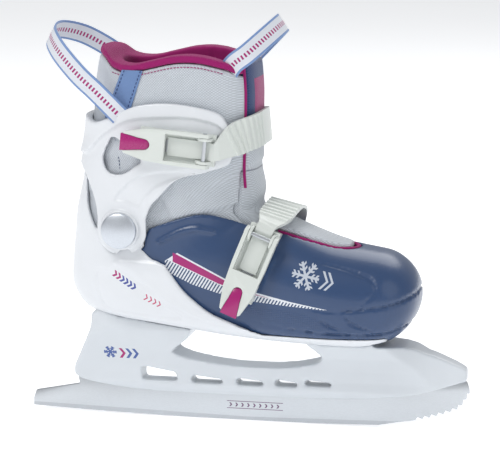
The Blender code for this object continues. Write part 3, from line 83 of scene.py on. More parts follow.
# Sections of the foot and leg, in millimetres: sole or back point, instep or front point,
# half width, squareness at the back and the front, share of the sole's extra thickness
STATIONS = (
    ((81.0, 65.5), (81.0, 116.7), 37.0, 3.4, 2.2, 1.25),
    ((60.0, 65.5), (60.0, 120.5), 39.0, 3.6, 2.2, 1.25),
    ((38.0, 65.5), (38.0, 128.5), 38.0, 3.6, 2.2, 1.2),
    ((15.0, 66.3), (22.0, 136.0), 36.0, 3.6, 2.2, 1.1),
    ((-10.0, 68.0), (13.0, 141.5), 34.0, 3.6, 2.3, 1.0),
    ((-35.0, 70.5), (9.0, 145.0), 33.0, 3.6, 2.4, 0.9),
    ((-60.0, 73.0), (8.0, 148.0), 32.5, 3.5, 2.5, 0.75),
    ((-85.0, 75.5), (8.5, 151.0), 32.0, 3.3, 2.5, 0.65),
    ((-104.0, 79.5), (9.5, 154.5), 31.5, 3.0, 2.6, 0.5),
    ((-113.0, 91.0), (9.5, 158.5), 31.3, 2.8, 2.7, 0.2),
    ((-113.8, 106.0), (8.5, 163.0), 31.8, 2.7, 2.8, 0.0),
    ((-112.0, 124.0), (7.0, 168.5), 33.0, 2.7, 2.9, 0.0),
    ((-110.3, 141.0), (6.2, 175.5), 34.0, 2.7, 3.0, 0.0),
    ((-106.5, 158.0), (6.0, 184.0), 34.6, 2.7, 3.0, 0.0),
    ((-103.5, 174.0), (6.0, 193.0), 35.0, 2.7, 3.0, 0.0),
    ((-99.8, 190.0), (6.0, 202.0), 35.3, 2.7, 3.0, 0.0),
    ((-98.2, 206.0), (6.0, 211.0), 35.5, 2.7, 3.0, 0.0),
    ((-97.2, 222.0), (6.0, 222.0), 35.5, 2.7, 3.0, 0.0),
    ((-95.2, 236.0), (5.0, 235.0), 35.5, 2.7, 3.0, 0.0),
    ((-92.3, 250.0), (3.5, 248.0), 35.0, 2.7, 3.0, 0.0),
)
TOE_CENTRE = (81.0, 90.0)
TOE_REACH = 31.0
TOE_UP = 26.7
TOE_DOWN = 24.5
TOE_ANGLES = (84.0, 72.0, 58.0, 42.0, 24.0)

PIVOT = (-76.5, 132.0)
BUTTON = (-52.0, 88.0)
SOLE = 4.0
HEEL_OUT = 3.3
CUFF_IN = 3.6
CUFF_OUT = 6.6
PLATE_TOP = 65.2
PLATE_FRONT = 96.0
LIP_BACK = 88.0
TONGUE_HALF = 23.5
WEB_WIDTH = 13.5
AROUND = 72
FIRST_LEG_STATION = 8     # the stations above the instep
FAR = 70.0                # past the object's sides
LONG = 200.0              # past its ends
HIGH = 300.0              # past its top
PIVOT_BORE = 3.3
BUTTON_BORE = 6.3
BUTTON_COLLAR = 8.5
LATCH_SLOT = 3.8
SIZE_TRAVEL = 20.0
INNER_RADIUS = 36.0       # the foot's lining ends inside this circle round the pivot
OUTER_RADIUS = 47.8       # the leg's lining starts outside this one
UPPER_ANGLE = 27.0        # where that lining starts, seen from the pivot
LINING_WALL = 5.0
COLLAR_WALL = 12.3


def srgb(red, green, blue):
    """A colour in linear light from its usual 0 to 255 values."""
    values = [value / 255.0 for value in (red, green, blue)]
    return tuple(v / 12.92 if v <= 0.04045 else ((v + 0.055) / 1.055) ** 2.4 for v in values)


class SkateColours(PropertyGroup):
    """Colours of the skate's materials."""

    shell: FloatVectorProperty(name="Shell", description="White moulded shells", subtype="COLOR",
                               default=srgb(229, 232, 236))
    toe: FloatVectorProperty(name="Toe", description="Blue toe shell", subtype="COLOR",
                             default=srgb(46, 72, 112))
    buckle: FloatVectorProperty(name="Buckle", description="Off-white buckles and straps",
                                subtype="COLOR", default=srgb(219, 224, 219))
    accent: FloatVectorProperty(name="Accent", description="Magenta tabs, piping and collar",
                                subtype="COLOR", default=srgb(168, 22, 112))
    mesh: FloatVectorProperty(name="Mesh", description="Light grey lining mesh", subtype="COLOR",
                              default=srgb(208, 214, 221))
    trim: FloatVectorProperty(name="Trim", description="Light blue trim and webbing edge",
                              subtype="COLOR", default=srgb(122, 152, 202))
    navy: FloatVectorProperty(name="Navy", description="Dark blue of the tongue's top",
                              subtype="COLOR", default=srgb(48, 72, 122))
    steel: FloatVectorProperty(name="Steel", description="Blade, pins and rivets", subtype="COLOR",
                               default=srgb(206, 210, 214))


class SkateSizes(PropertyGroup):
    """Sizes of the details that give each surface its look."""

    weave: FloatProperty(name="Weave pitch", description="Distance between cells of the mesh cloth",
                         default=1.7 * MM, unit="LENGTH")
    stitch: FloatProperty(name="Stitch", description="Length of one stitch", default=1.7 * MM,
                          unit="LENGTH")
    piping: FloatProperty(name="Piping", description="Radius of the magenta piping",
                          default=1.1 * MM, unit="LENGTH")
    grain: FloatProperty(name="Grain pitch", description="Size of the moulded plastic's grain",
                         default=0.5 * MM, unit="LENGTH")
    dash: FloatProperty(name="Dash pitch", description="Distance between the webbing's dashes",
                        default=2.6 * MM, unit="LENGTH")


def colours():
    return bpy.context.scene.skate_colours


def sizes():
    return bpy.context.scene.skate_sizes


# ---------------------------------------------------------------- selecting, adding, cutting

def pick(thing):
    """Leave only this object selected and active."""
    for other in bpy.context.view_layer.objects:
        other.select_set(False)
    thing.select_set(True)
    bpy.context.view_layer.objects.active = thing


def drop(thing):
    bpy.data.objects.remove(thing, do_unlink=True)


def add_mesh(name, points, faces, edges=()):
    """An object from millimetre points."""
    mesh = bpy.data.meshes.new(name)
    mesh.from_pydata([Vector(point) * MM for point in points], list(edges), list(faces))
    mesh.update()
    thing = bpy.data.objects.new(name, mesh)
    bpy.context.scene.collection.objects.link(thing)
    return thing


def plate(outline, start, end, along="Y"):
    """A flat closed outline drawn out along one axis."""
    def place(u, v, t):
        return {"X": (t, u, v), "Y": (u, t, v), "Z": (u, v, t)}[along]
    count = len(outline)
    rim = [(index, (index + 1) % count) for index in range(count)]
    thing = add_mesh("plate", [place(u, v, start) for u, v in outline], [], rim)
    pick(thing)
    bpy.ops.object.mode_set(mode="EDIT")
    bpy.ops.mesh.select_all(action="SELECT")
    bpy.ops.mesh.edge_face_add()
    bpy.ops.mesh.extrude_region_move(
        TRANSFORM_OT_translate={"value": Vector(place(0.0, 0.0, end - start)) * MM})
    bpy.ops.mesh.select_all(action="SELECT")
    bpy.ops.mesh.normals_make_consistent(inside=False)
    bpy.ops.object.mode_set(mode="OBJECT")
    return thing


def block(low, high):
    outline = [(low[0], low[2]), (high[0], low[2]), (high[0], high[2]), (low[0], high[2])]
    return plate(outline, low[1], high[1])


def peg(x, z, start, end, radius):
    """A round bar across the skate."""
    bpy.ops.mesh.primitive_cylinder_add(
        vertices=48, radius=radius * MM, depth=abs(end - start) * MM,
        location=Vector((x, (start + end) / 2.0, z)) * MM, rotation=(math.pi / 2.0, 0.0, 0.0))
    thing = bpy.context.active_object
    pick(thing)
    bpy.ops.object.transform_apply(location=True, rotation=True, scale=True)
    return thing


def apply_last(thing, modifier):
    pick(thing)
    bpy.ops.object.modifier_apply(modifier=modifier.name)


def combine(thing, tool, operation, keep=False):
    modifier = thing.modifiers.new("combine", "BOOLEAN")
    modifier.operation = operation
    modifier.solver = "MANIFOLD"
    modifier.object = tool
    apply_last(thing, modifier)
    if not keep:
        drop(tool)
    return thing


def minus(thing, *tools):
    for tool in tools:
        combine(thing, tool, "DIFFERENCE")
    return thing


def within(thing, *tools):
    for tool in tools:
        combine(thing, tool, "INTERSECT")
    return thing


def joined(thing, *tools):
    for tool in tools:
        combine(thing, tool, "UNION")
    return thing


def mould(thing, voxel, rounds, factor=0.5):
    """An even skin over the shape with its edges eased."""
    remesh = thing.modifiers.new("skin", "REMESH")
    remesh.mode = "VOXEL"
    remesh.voxel_size = voxel * MM
    apply_last(thing, remesh)
    smooth = thing.modifiers.new("ease", "SMOOTH")
    smooth.factor = factor
    smooth.iterations = rounds
    apply_last(thing, smooth)
    thing.data.materials.clear()
    pick(thing)
    bpy.ops.object.shade_smooth()
    return thing


def curve_through(points, steps=4, closed=False):
    """Points on a smooth curve through the given ones."""
    count = len(points)
    vectors = [Vector(point) for point in points]
    out = []
    for index in range(count if closed else count - 1):
        four = [vectors[(index + shift) % count] if closed
                else vectors[min(max(index + shift, 0), count - 1)] for shift in (-1, 0, 1, 2)]
        before, start, end, after = four
        for step in range(steps):
            t = step / steps
            out.append(0.5 * (2.0 * start + (end - before) * t
                              + (2.0 * before - 5.0 * start + 4.0 * end - after) * t ** 2
                              + (3.0 * start - before - 3.0 * end + after) * t ** 3))
    if not closed:
        out.append(vectors[-1])
    return out


def line(points, steps=6, closed=False):
    return [tuple(point) for point in curve_through(points, steps, closed)]


def arc(centre, radius, start, end, steps):
    out = []
    for step in range(steps + 1):
        angle = math.radians(start + (end - start) * step / steps)
        out.append((centre[0] + radius * math.cos(angle), centre[1] + radius * math.sin(angle)))
    return out


def stroke(points, widths, steps=6):
    """A side-view outline that follows a line, with its width at the start, middle and end."""
    path = [Vector(point) for point in curve_through(points, steps)]
    left, right = [], []
    for index, point in enumerate(path):
        ahead = path[min(index + 1, len(path) - 1)] - path[max(index - 1, 0)]
        side = Vector((-ahead.y, ahead.x)).normalized()
        share = index / (len(path) - 1)
        width = np.interp(share, (0.0, 0.5, 1.0), widths) / 2.0
        left.append(tuple(point + side * width))
        right.append(tuple(point - side * width))
    return left + right[::-1]


# ---------------------------------------------------------------- the boot's own form

def ease(value, start, end):
    share = min(max((value - start) / (end - start), 0.0), 1.0)
    return share * share * (3.0 - 2.0 * share)


def section(low, high, half, back_power, front_power):
    """A closed section with its own squareness at the back and the front."""
    angle = np.linspace(0.0, 2.0 * math.pi, AROUND, endpoint=False)
    power = np.where(np.cos(angle) > 0.0, 2.0 / front_power, 2.0 / back_power)
    along = np.sign(np.cos(angle)) * np.abs(np.cos(angle)) ** power
    across = np.sign(np.sin(angle)) * np.abs(np.sin(angle)) ** power
    low, high = np.array(low), np.array(high)
    middle, reach = (low + high) / 2.0, (high - low) / 2.0
    ring = np.zeros((AROUND, 3))
    ring[:, 0] = middle[0] + reach[0] * along
    ring[:, 1] = half * across
    ring[:, 2] = middle[1] + reach[1] * along
    return ring


def outward(points, index, side):
    if index == 0:
        return Vector((0.0, -side))
    ahead = points[min(index + 1, len(points) - 1)] - points[index - 1]
    return Vector((ahead.y, -ahead.x)).normalized() * -side


def wing_share(x, z):
    """How far the heel shell's wings stand out."""
    share = ease(x, -100.0, -77.0) * (1.0 - 0.75 * ease(x, -5.0, 40.0))
    return share * (1.0 - ease(z, 110.0, 121.0))


def boot(offset, sole=0.0, wing=0.0, steps=3):
    """The foot and leg as one closed form, moved out by an offset."""
    rings = []
    _, _, half, back_power, front_power, share = STATIONS[0]
    for degrees in TOE_ANGLES:
        angle = math.radians(degrees)
        x = TOE_CENTRE[0] + (TOE_REACH + offset) * math.sin(angle)
        down = (TOE_DOWN + offset + sole * share) * math.cos(angle)
        up = (TOE_UP + offset) * math.cos(angle)
        width = (half + offset) * math.cos(angle) ** 0.75
        rings.append(section((x, TOE_CENTRE[1] - down), (x, TOE_CENTRE[1] + up), width,
                             back_power - math.sin(angle), front_power))
    lows = [Vector(station[0]) for station in STATIONS]
    highs = [Vector(station[1]) for station in STATIONS]
    for index, (_, _, half, back_power, front_power, share) in enumerate(STATIONS):
        low = lows[index] + outward(lows, index, 1.0) * (offset + sole * share)
        high = highs[index] + outward(highs, index, -1.0) * offset
        rings.append(section(tuple(low), tuple(high), half + offset, back_power, front_power))
    rings.append(rings[-1] + np.array((0.0, 0.0, 8.0 - 0.5 * offset)))
    stack = np.array(rings)
    if wing:
        shares = np.vectorize(wing_share)(stack[:, :, 0], stack[:, :, 2])
        stack[:, :, 1] += wing * shares * np.clip(stack[:, :, 1] / 12.0, -1.0, 1.0)
    fine = []
    for index in range(len(stack) - 1):
        before, start = stack[max(index - 1, 0)], stack[index]
        end, after = stack[index + 1], stack[min(index + 2, len(stack) - 1)]
        for step in range(steps):
            t = step / steps
            fine.append(0.5 * (2.0 * start + (end - before) * t
                               + (2.0 * before - 5.0 * start + 4.0 * end - after) * t ** 2
                               + (3.0 * start - before - 3.0 * end + after) * t ** 3))
    fine.append(stack[-1])
    points = np.concatenate(fine)
    faces = []
    for level in range(len(fine) - 1):
        for index in range(AROUND):
            after = (index + 1) % AROUND
            low, high = level * AROUND, (level + 1) * AROUND
            faces.append((low + index, low + after, high + after, high + index))
    faces.append(tuple(reversed(range(AROUND))))
    faces.append(tuple(range((len(fine) - 1) * AROUND, len(fine) * AROUND)))
    return add_mesh("boot", points.tolist(), faces)


def raised(thing, outline, height, sole=0.0, wing=0.0, sides=(-FAR, FAR)):
    """Add a low raised band inside a side-view outline."""
    band = within(boot(height, sole, wing), plate(outline, *sides))
    return joined(thing, band)


def sunk(thing, outline, depth, sole=0.0, wing=0.0, sides=(-FAR, FAR)):
    """Cut a shallow recess inside a side-view outline down to an offset."""
    return minus(thing, minus(plate(outline, *sides), boot(depth, sole, wing)))


# ---------------------------------------------------------------- outlines

HEEL_SPINE = ((-125.0, 167.0), (-112.0, 167.5), (-104.5, 166.0), (-102.6, 161.0), (-101.6, 150.0),
              (-99.6, 141.0), (-94.5, 129.5))
HEEL_WING = ((-62.0, 118.0), (-57.0, 113.5), (-50.5, 111.0), (-45.9, 106.7), (-35.8, 93.6),
             (-25.7, 84.6), (-15.5, 77.6), (1.3, 70.2), (14.0, 66.6))
TOE_TOP = ((-58.5, 132.5), (-49.7, 136.0), (-36.0, 140.5), (-22.7, 143.0), (-9.2, 140.5),
           (5.6, 136.5), (28.0, 133.0), (60.0, 131.0))
TOE_REAR = ((-76.0, 79.0), (-76.0, 104.0), (-70.0, 112.0), (-61.5, 121.0), (-61.0, 128.0))
THROAT = ((76.0, 0.0), (74.0, 8.0), (66.0, 14.5), (50.0, 18.5), (30.0, 22.0), (8.0, 25.5),
          (-20.0, 27.5), (-90.0, 28.0))
CUFF_TOP = ((-103.0, 204.0), (-95.0, 201.0), (-83.0, 205.2), (-69.5, 211.7), (-59.4, 214.4),
            (-45.9, 215.6), (-32.4, 214.7), (-18.9, 212.2), (-10.8, 209.2), (-6.8, 204.6),
            (-3.0, 196.0), (-2.0, 186.0), (-5.0, 176.5))
CUFF_ARM = ((-8.8, 174.5), (-22.3, 170.5), (-32.4, 168.2), (-40.5, 164.5), (-49.3, 155.5),
            (-56.0, 147.9), (-59.4, 139.5))
CUFF_BACK = ((-93.0, 131.0), (-92.7, 139.0), (-93.8, 148.0), (-97.0, 157.0), (-101.5, 165.5),
             (-107.0, 171.5))
CUFF_WINDOW = ((-79.6, 192.4), (-85.0, 187.6), (-88.2, 180.0), (-87.6, 173.8), (-84.4, 169.4),
               (-79.6, 168.0), (-72.9, 169.3), (-66.1, 174.0), (-62.5, 179.0))
COLLAR_RIM = ((-118.0, 251.0), (-92.0, 246.5), (-82.0, 239.0), (-70.0, 237.0), (-56.0, 240.0),
              (-40.0, 243.5), (-24.0, 243.5), (-8.0, 239.5), (0.0, 236.0), (14.0, 236.0))


def heel_outline():
    plate_edge = [(17.5, PLATE_TOP), (PLATE_FRONT, PLATE_TOP), (PLATE_FRONT, PLATE_TOP - 3.6),
                  (LIP_BACK - 2.0, PLATE_TOP - 4.8), (LIP_BACK - 2.0, 30.0)]
    return (line(HEEL_SPINE) + arc(PIVOT, 15.5, 115.0, 20.0, 12) + line(HEEL_WING) + plate_edge
            + [(-LONG, 30.0), (-LONG, 167.0)])


def toe_outline(grow=0.0):
    low = PLATE_TOP + 0.3 - grow
    front = [(130.0, 131.0), (130.0, 50.0), (LIP_BACK, 50.0), (LIP_BACK, PLATE_TOP - 5.1),
             (PLATE_FRONT + 0.3, PLATE_TOP - 3.9), (PLATE_FRONT + 0.3, low)]
    rear = [(x - grow, z) for x, z in TOE_REAR]
    return line(TOE_TOP) + front + [(-30.0, low), (rear[0][0], rear[0][1] - grow)] + rear


def throat_outline(inset=0.0):
    side = [(p.x - inset, max(p.y - inset, 0.0)) for p in curve_through(THROAT, 5)]
    return side + [(x, -y) for x, y in side[::-1] if y > 0.0]


def cuff_outline():
    lobe = arc(PIVOT, 17.3, 8.0, -150.0, 18)
    return ([(-125.0, 171.5), (-125.0, 204.5)] + line(CUFF_TOP) + line(CUFF_ARM) + lobe
            + line(CUFF_BACK))


def rim_outline(rise):
    points = line([(x, z + rise) for x, z in COLLAR_RIM], 4)
    return points + [(LONG, points[-1][1])]


def tidy(thing, name, body, node_names, materials):
    """Name the finished piece, give it its materials and hang it on its body."""
    thing.name = name
    thing.data.name = name
    if not thing.data.materials:
        for surface in materials:
            thing.data.materials.append(surface)
    if node_names:
        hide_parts(*node_names)
    if isinstance(body, str):
        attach(thing, body)
    return thing


# ---------------------------------------------------------------- shader tools

class Graph:
    """Short calls for building the nodes of a material or a node group."""

    def __init__(self, tree):
        self.tree = tree

    def node(self, kind, settings=None, **inputs):
        made = self.tree.nodes.new(kind)
        for key, value in (settings or {}).items():
            setattr(made, key, value)
        for key, value in inputs.items():
            self.feed(made, key.replace("_", " "), value)
        return made

    def feed(self, node, key, value):
        socket = node.inputs[int(key) if key.isdigit() else key]
        if isinstance(value, bpy.types.NodeSocket):
            self.tree.links.new(value, socket)
        elif isinstance(value, (tuple, list)) and len(value) == 3 and socket.type == "RGBA":
            socket.default_value = (*value, 1.0)
        else:
            socket.default_value = value

    def math(self, operation, first, second=0.0, third=None, clamp=False):
        made = self.node("ShaderNodeMath", {"operation": operation, "use_clamp": clamp})
        self.feed(made, "0", first)
        self.feed(made, "1", second)
        if third is not None:
            self.feed(made, "2", third)
        return made.outputs[0]

    def below(self, first, second):
        return self.math("LESS_THAN", first, second)

    def over(self, first, second):
        return self.math("GREATER_THAN", first, second)

    def plus(self, first, second, clamp=False):
        return self.math("ADD", first, second, clamp=clamp)

    def less(self, first, second, clamp=False):
        return self.math("SUBTRACT", first, second, clamp=clamp)

    def times(self, first, second, clamp=False):
        return self.math("MULTIPLY", first, second, clamp=clamp)

    def size(self, value):
        return self.math("ABSOLUTE", value)

    def mix(self, mask, first, second):
        made = self.node("ShaderNodeMix", {"data_type": "RGBA"})
        self.feed(made, "0", mask)
        self.feed(made, "6", first)
        self.feed(made, "7", second)
        return made.outputs[2]

    def noise(self, vector, scale, detail=2.0, roughness=0.5):
        made = self.node("ShaderNodeTexNoise", Scale=scale, Detail=detail, Roughness=roughness)
        self.feed(made, "Vector", vector)
        return made.outputs[0]

    def place(self):
        """Object coordinates in millimetres as separate values."""
        texture = self.node("ShaderNodeTexCoord")
        scaled = self.node("ShaderNodeVectorMath", {"operation": "SCALE"})
        self.feed(scaled, "0", texture.outputs["Object"])
        self.feed(scaled, "Scale", 1000.0)
        split = self.node("ShaderNodeSeparateXYZ")
        self.feed(split, "0", scaled.outputs[0])
        return scaled.outputs[0], split.outputs[0], split.outputs[1], split.outputs[2]

    def bump(self, height, strength, distance):
        made = self.node("ShaderNodeBump", Strength=strength, Distance=distance)
        self.feed(made, "Height", height)
        return made.outputs[0]

    def profile(self, value, points):
        """A curve through (mm, mm) points, read at a millimetre value."""
        xs, ys = [p[0] for p in points], [p[1] for p in points]
        low, span = min(xs), max(xs) - min(xs)
        base, rise = min(ys), max(max(ys) - min(ys), 0.001)
        made = self.node("ShaderNodeFloatCurve")
        curve = made.mapping.curves[0]
        while len(curve.points) < len(points):
            curve.points.new(0.5, 0.5)
        for point, (x, y) in zip(curve.points, points):
            point.location = ((x - low) / span, (y - base) / rise)
            point.handle_type = "VECTOR"
        made.mapping.update()
        share = self.math("DIVIDE", self.math("SUBTRACT", value, low), span, clamp=True)
        self.feed(made, "Value", share)
        return self.math("MULTIPLY_ADD", made.outputs[0], rise, base)

    def near(self, value, centre, half):
        """1 where a value is within half of a centre."""
        return self.math("LESS_THAN", self.math("ABSOLUTE", self.math("SUBTRACT", value, centre)), half)

    def every(self, *masks):
        out = masks[0]
        for mask in masks[1:]:
            out = self.math("MULTIPLY", out, mask)
        return out

    def any(self, *masks):
        out = masks[0]
        for mask in masks[1:]:
            out = self.math("MAXIMUM", out, mask)
        return out


def new_group(name, inputs, outputs):
    tree = bpy.data.node_groups.new(name, "ShaderNodeTree")
    for label, kind in inputs:
        tree.interface.new_socket(label, in_out="INPUT", socket_type=kind)
    for label, kind in outputs:
        tree.interface.new_socket(label, in_out="OUTPUT", socket_type=kind)
    start = tree.nodes.new("NodeGroupInput")
    end = tree.nodes.new("NodeGroupOutput")
    return Graph(tree), start.outputs, end.inputs


def grain_group():
    """Fine moulded grain, a slow colour drift and light handling marks."""
    graph, source, out = new_group(
        "moulded_grain",
        [("Place", "NodeSocketVector"), ("Pitch", "NodeSocketFloat"), ("Roughness", "NodeSocketFloat"),
         ("Colour", "NodeSocketColor")],
        [("Colour", "NodeSocketColor"), ("Roughness", "NodeSocketFloat"), ("Height", "NodeSocketFloat")])
    scale = graph.math("DIVIDE", 1.0, source["Pitch"])
    fine = graph.noise(source["Place"], scale, 3.0, 0.6)
    slow = graph.noise(source["Place"], 0.045, 2.0, 0.5)
    scuff = graph.noise(source["Place"], 0.35, 5.0, 0.7)
    rubbed = graph.times(graph.less(scuff, 0.56, clamp=True), 1.6, clamp=True)
    dark = graph.node("ShaderNodeHueSaturation", Value=0.93, Saturation=1.0)
    graph.feed(dark, "Color", source["Colour"])
    graph.tree.links.new(graph.mix(slow, source["Colour"], dark.outputs[0]), out["Colour"])
    rough = graph.math("MULTIPLY_ADD", slow, 0.10, graph.less(source["Roughness"], 0.05))
    graph.tree.links.new(graph.math("MULTIPLY_ADD", rubbed, 0.18, rough), out["Roughness"])
    graph.tree.links.new(graph.math("MULTIPLY_ADD", fine, 0.6, graph.times(slow, 0.4)),
                         out["Height"])
    return graph.tree


def weave_group():
    """A diagonal mesh cloth: small raised cells with open corners."""
    graph, source, out = new_group(
        "mesh_cloth",
        [("Along", "NodeSocketFloat"), ("Up", "NodeSocketFloat"), ("Pitch", "NodeSocketFloat")],
        [("Thread", "NodeSocketFloat"), ("Height", "NodeSocketFloat")])
    turn = graph.math("DIVIDE", math.pi, source["Pitch"])
    first = graph.times(graph.plus(source["Along"], source["Up"]), turn)
    second = graph.times(graph.less(source["Along"], source["Up"]), turn)
    ridge = graph.size(graph.math("SINE", first))
    cross = graph.size(graph.math("SINE", second))
    height = graph.times(graph.math("POWER", ridge, 0.6), graph.math("POWER", cross, 0.8))
    graph.tree.links.new(graph.times(height, 1.15, clamp=True), out["Thread"])
    graph.tree.links.new(height, out["Height"])
    return graph.tree


def brushed_group():
    """Fine lines along a ground or rolled metal surface."""
    graph, source, out = new_group(
        "brushed_lines",
        [("Place", "NodeSocketVector"), ("Stretch", "NodeSocketVector"), ("Colour", "NodeSocketColor"),
         ("Roughness", "NodeSocketFloat")],
        [("Colour", "NodeSocketColor"), ("Roughness", "NodeSocketFloat"), ("Height", "NodeSocketFloat")])
    turned = graph.node("ShaderNodeVectorMath", {"operation": "MULTIPLY"})
    graph.feed(turned, "0", source["Place"])
    graph.feed(turned, "1", source["Stretch"])
    lines = graph.noise(turned.outputs[0], 1.0, 4.0, 0.65)
    slow = graph.noise(source["Place"], 0.06, 2.0, 0.5)
    tone = graph.math("MULTIPLY_ADD", lines, 0.30, 0.80)
    shade = graph.node("ShaderNodeMix", {"data_type": "RGBA", "blend_type": "MULTIPLY"})
    graph.feed(shade, "0", 1.0)
    graph.feed(shade, "6", source["Colour"])
    tint = graph.node("ShaderNodeCombineColor")
    for index in range(3):
        graph.feed(tint, str(index), tone)
    graph.feed(shade, "7", tint.outputs[0])
    graph.tree.links.new(shade.outputs[2], out["Colour"])
    rough = graph.math("MULTIPLY_ADD", lines, 0.16, source["Roughness"])
    graph.tree.links.new(graph.math("MULTIPLY_ADD", slow, 0.08, rough), out["Roughness"])
    graph.tree.links.new(lines, out["Height"])
    return graph.tree


def group_named(name):
    makers = {"moulded_grain": grain_group, "mesh_cloth": weave_group, "brushed_lines": brushed_group}
    return bpy.data.node_groups.get(name) or makers[name]()


def start_material(name):
    surface = bpy.data.materials.new(name)
    surface.use_nodes = True
    graph = Graph(surface.node_tree)
    shader = surface.node_tree.nodes["Principled BSDF"]
    return surface, graph, shader


def use_group(graph, name, **inputs):
    made = graph.node("ShaderNodeGroup")
    made.node_tree = group_named(name)
    for key, value in inputs.items():
        graph.feed(made, key, value)
    return made.outputs


def plastic(name, colour, roughness, paint=None, coat=0.25, grain=0.03):
    """Moulded plastic, with printed marks where paint says."""
    found = bpy.data.materials.get(name)
    if found:
        return found
    surface, graph, shader = start_material(name)
    place, x, y, z = graph.place()
    base = tuple(colour)
    extra = None
    if paint:
        base, extra = paint(graph, base, x, y, z)
    made = use_group(graph, "moulded_grain", Place=place, Pitch=sizes().grain / MM,
                     Roughness=roughness, Colour=base)
    graph.feed(shader, "Base Color", made["Colour"])
    graph.feed(shader, "Roughness", made["Roughness"])
    height = made["Height"]
    if extra is not None:
        height = graph.math("MULTIPLY_ADD", extra, 12.0, height)
    graph.feed(shader, "Normal", graph.bump(height, 0.35, grain * MM))
    shader.inputs["Coat Weight"].default_value = coat
    shader.inputs["Coat Roughness"].default_value = 0.18
    shader.inputs["IOR"].default_value = 1.48
    return surface


def metal(name, colour, roughness, stretch=(0.5, 9.0, 9.0), paint=None):
    found = bpy.data.materials.get(name)
    if found:
        return found
    surface, graph, shader = start_material(name)
    place, x, y, z = graph.place()
    base = tuple(colour)
    if paint:
        base, _ = paint(graph, base, x, y, z)
    made = use_group(graph, "brushed_lines", Place=place, Stretch=stretch, Colour=base,
                     Roughness=roughness)
    graph.feed(shader, "Base Color", made["Colour"])
    graph.feed(shader, "Roughness", made["Roughness"])
    graph.feed(shader, "Normal", graph.bump(made["Height"], 0.25, 0.02 * MM))
    shader.inputs["Metallic"].default_value = 1.0
    return surface


def cloth(name, colour, shade, paint=None, pitch=None, sheen=0.4):
    """Mesh cloth whose weave follows the boot's outside."""
    found = bpy.data.materials.get(name)
    if found:
        return found
    surface, graph, shader = start_material(name)
    place, x, y, z = graph.place()
    along = graph.plus(x, graph.size(y))
    made = use_group(graph, "mesh_cloth", Along=along, Up=z, Pitch=(pitch or sizes().weave) / MM)
    drift = graph.noise(place, 0.08, 3.0, 0.6)
    light = tuple(colour)
    dark = tuple(channel * shade for channel in light)
    if paint:
        light, dark = paint(graph, light, dark, x, y, z)
    tone = graph.math("MULTIPLY_ADD", drift, 0.3, graph.times(made["Thread"], 0.85), clamp=True)
    graph.feed(shader, "Base Color", graph.mix(tone, dark, light))
    graph.feed(shader, "Roughness", graph.math("MULTIPLY_ADD", drift, 0.15, 0.72))
    graph.feed(shader, "Normal", graph.bump(made["Height"], 0.7, 0.25 * MM))
    shader.inputs["Sheen Weight"].default_value = sheen
    shader.inputs["Sheen Roughness"].default_value = 0.5
    shader.inputs["Specular IOR Level"].default_value = 0.3
    return surface


# ---------------------------------------------------------------- printed and moulded marks

def chevrons(graph, u, v, places, half, thickness, lean=0.7):
    """A row of small arrow heads."""
    bend = graph.times(graph.size(v), lean)
    shifted = graph.plus(u, bend)
    inside = graph.below(graph.size(v), half)
    return graph.every(graph.any(*[graph.near(shifted, place, thickness) for place in places]), inside)


def crystal(graph, u, v, reach, width):
    """A six-armed snow crystal."""
    radius = graph.math("SQRT", graph.plus(graph.times(u, u), graph.times(v, v)))
    angle = graph.math("PINGPONG", graph.math("ARCTAN2", v, u), math.pi / 6.0)
    off = graph.times(radius, graph.math("SINE", angle))
    along = graph.times(radius, graph.math("COSINE", angle))
    arm = graph.every(graph.below(off, width), graph.below(along, reach))
    barb_line = graph.less(along, graph.times(off, 0.7))
    barbs = graph.every(graph.any(graph.near(barb_line, reach * 0.42, width * 0.9),
                                  graph.near(barb_line, reach * 0.72, width * 0.9)),
                        graph.below(off, reach * 0.26))
    return graph.any(arm, barbs)


def turned_place(graph, x, z, centre, degrees):
    """Coordinates along and across a slanted mark."""
    turn = math.radians(degrees)
    dx = graph.less(x, centre[0])
    dz = graph.less(z, centre[1])
    u = graph.plus(graph.times(dx, math.cos(turn)), graph.times(dz, math.sin(turn)))
    v = graph.less(graph.times(dz, math.cos(turn)), graph.times(dx, math.sin(turn)))
    return u, v


STRIPE_TOP = ((-50.0, 122.5), (-39.1, 117.3), (-6.6, 101.7), (12.6, 94.4), (36.0, 89.6), (60.0, 85.6))
STRIPE_MIDDLE = ((-50.0, 114.7), (-45.4, 112.4), (-11.4, 98.0), (10.3, 92.5), (36.0, 88.6), (60.0, 85.4))
STRIPE_LOW = ((-50.0, 106.5), (-44.1, 103.9), (-29.5, 97.3), (-12.6, 92.5), (10.3, 88.4), (36.0, 86.6),
              (60.0, 85.2))
STRIPE_LEFT = ((85.0, -36.0), (104.0, -46.5), (112.0, -47.8), (118.0, -38.9), (125.0, -38.0))


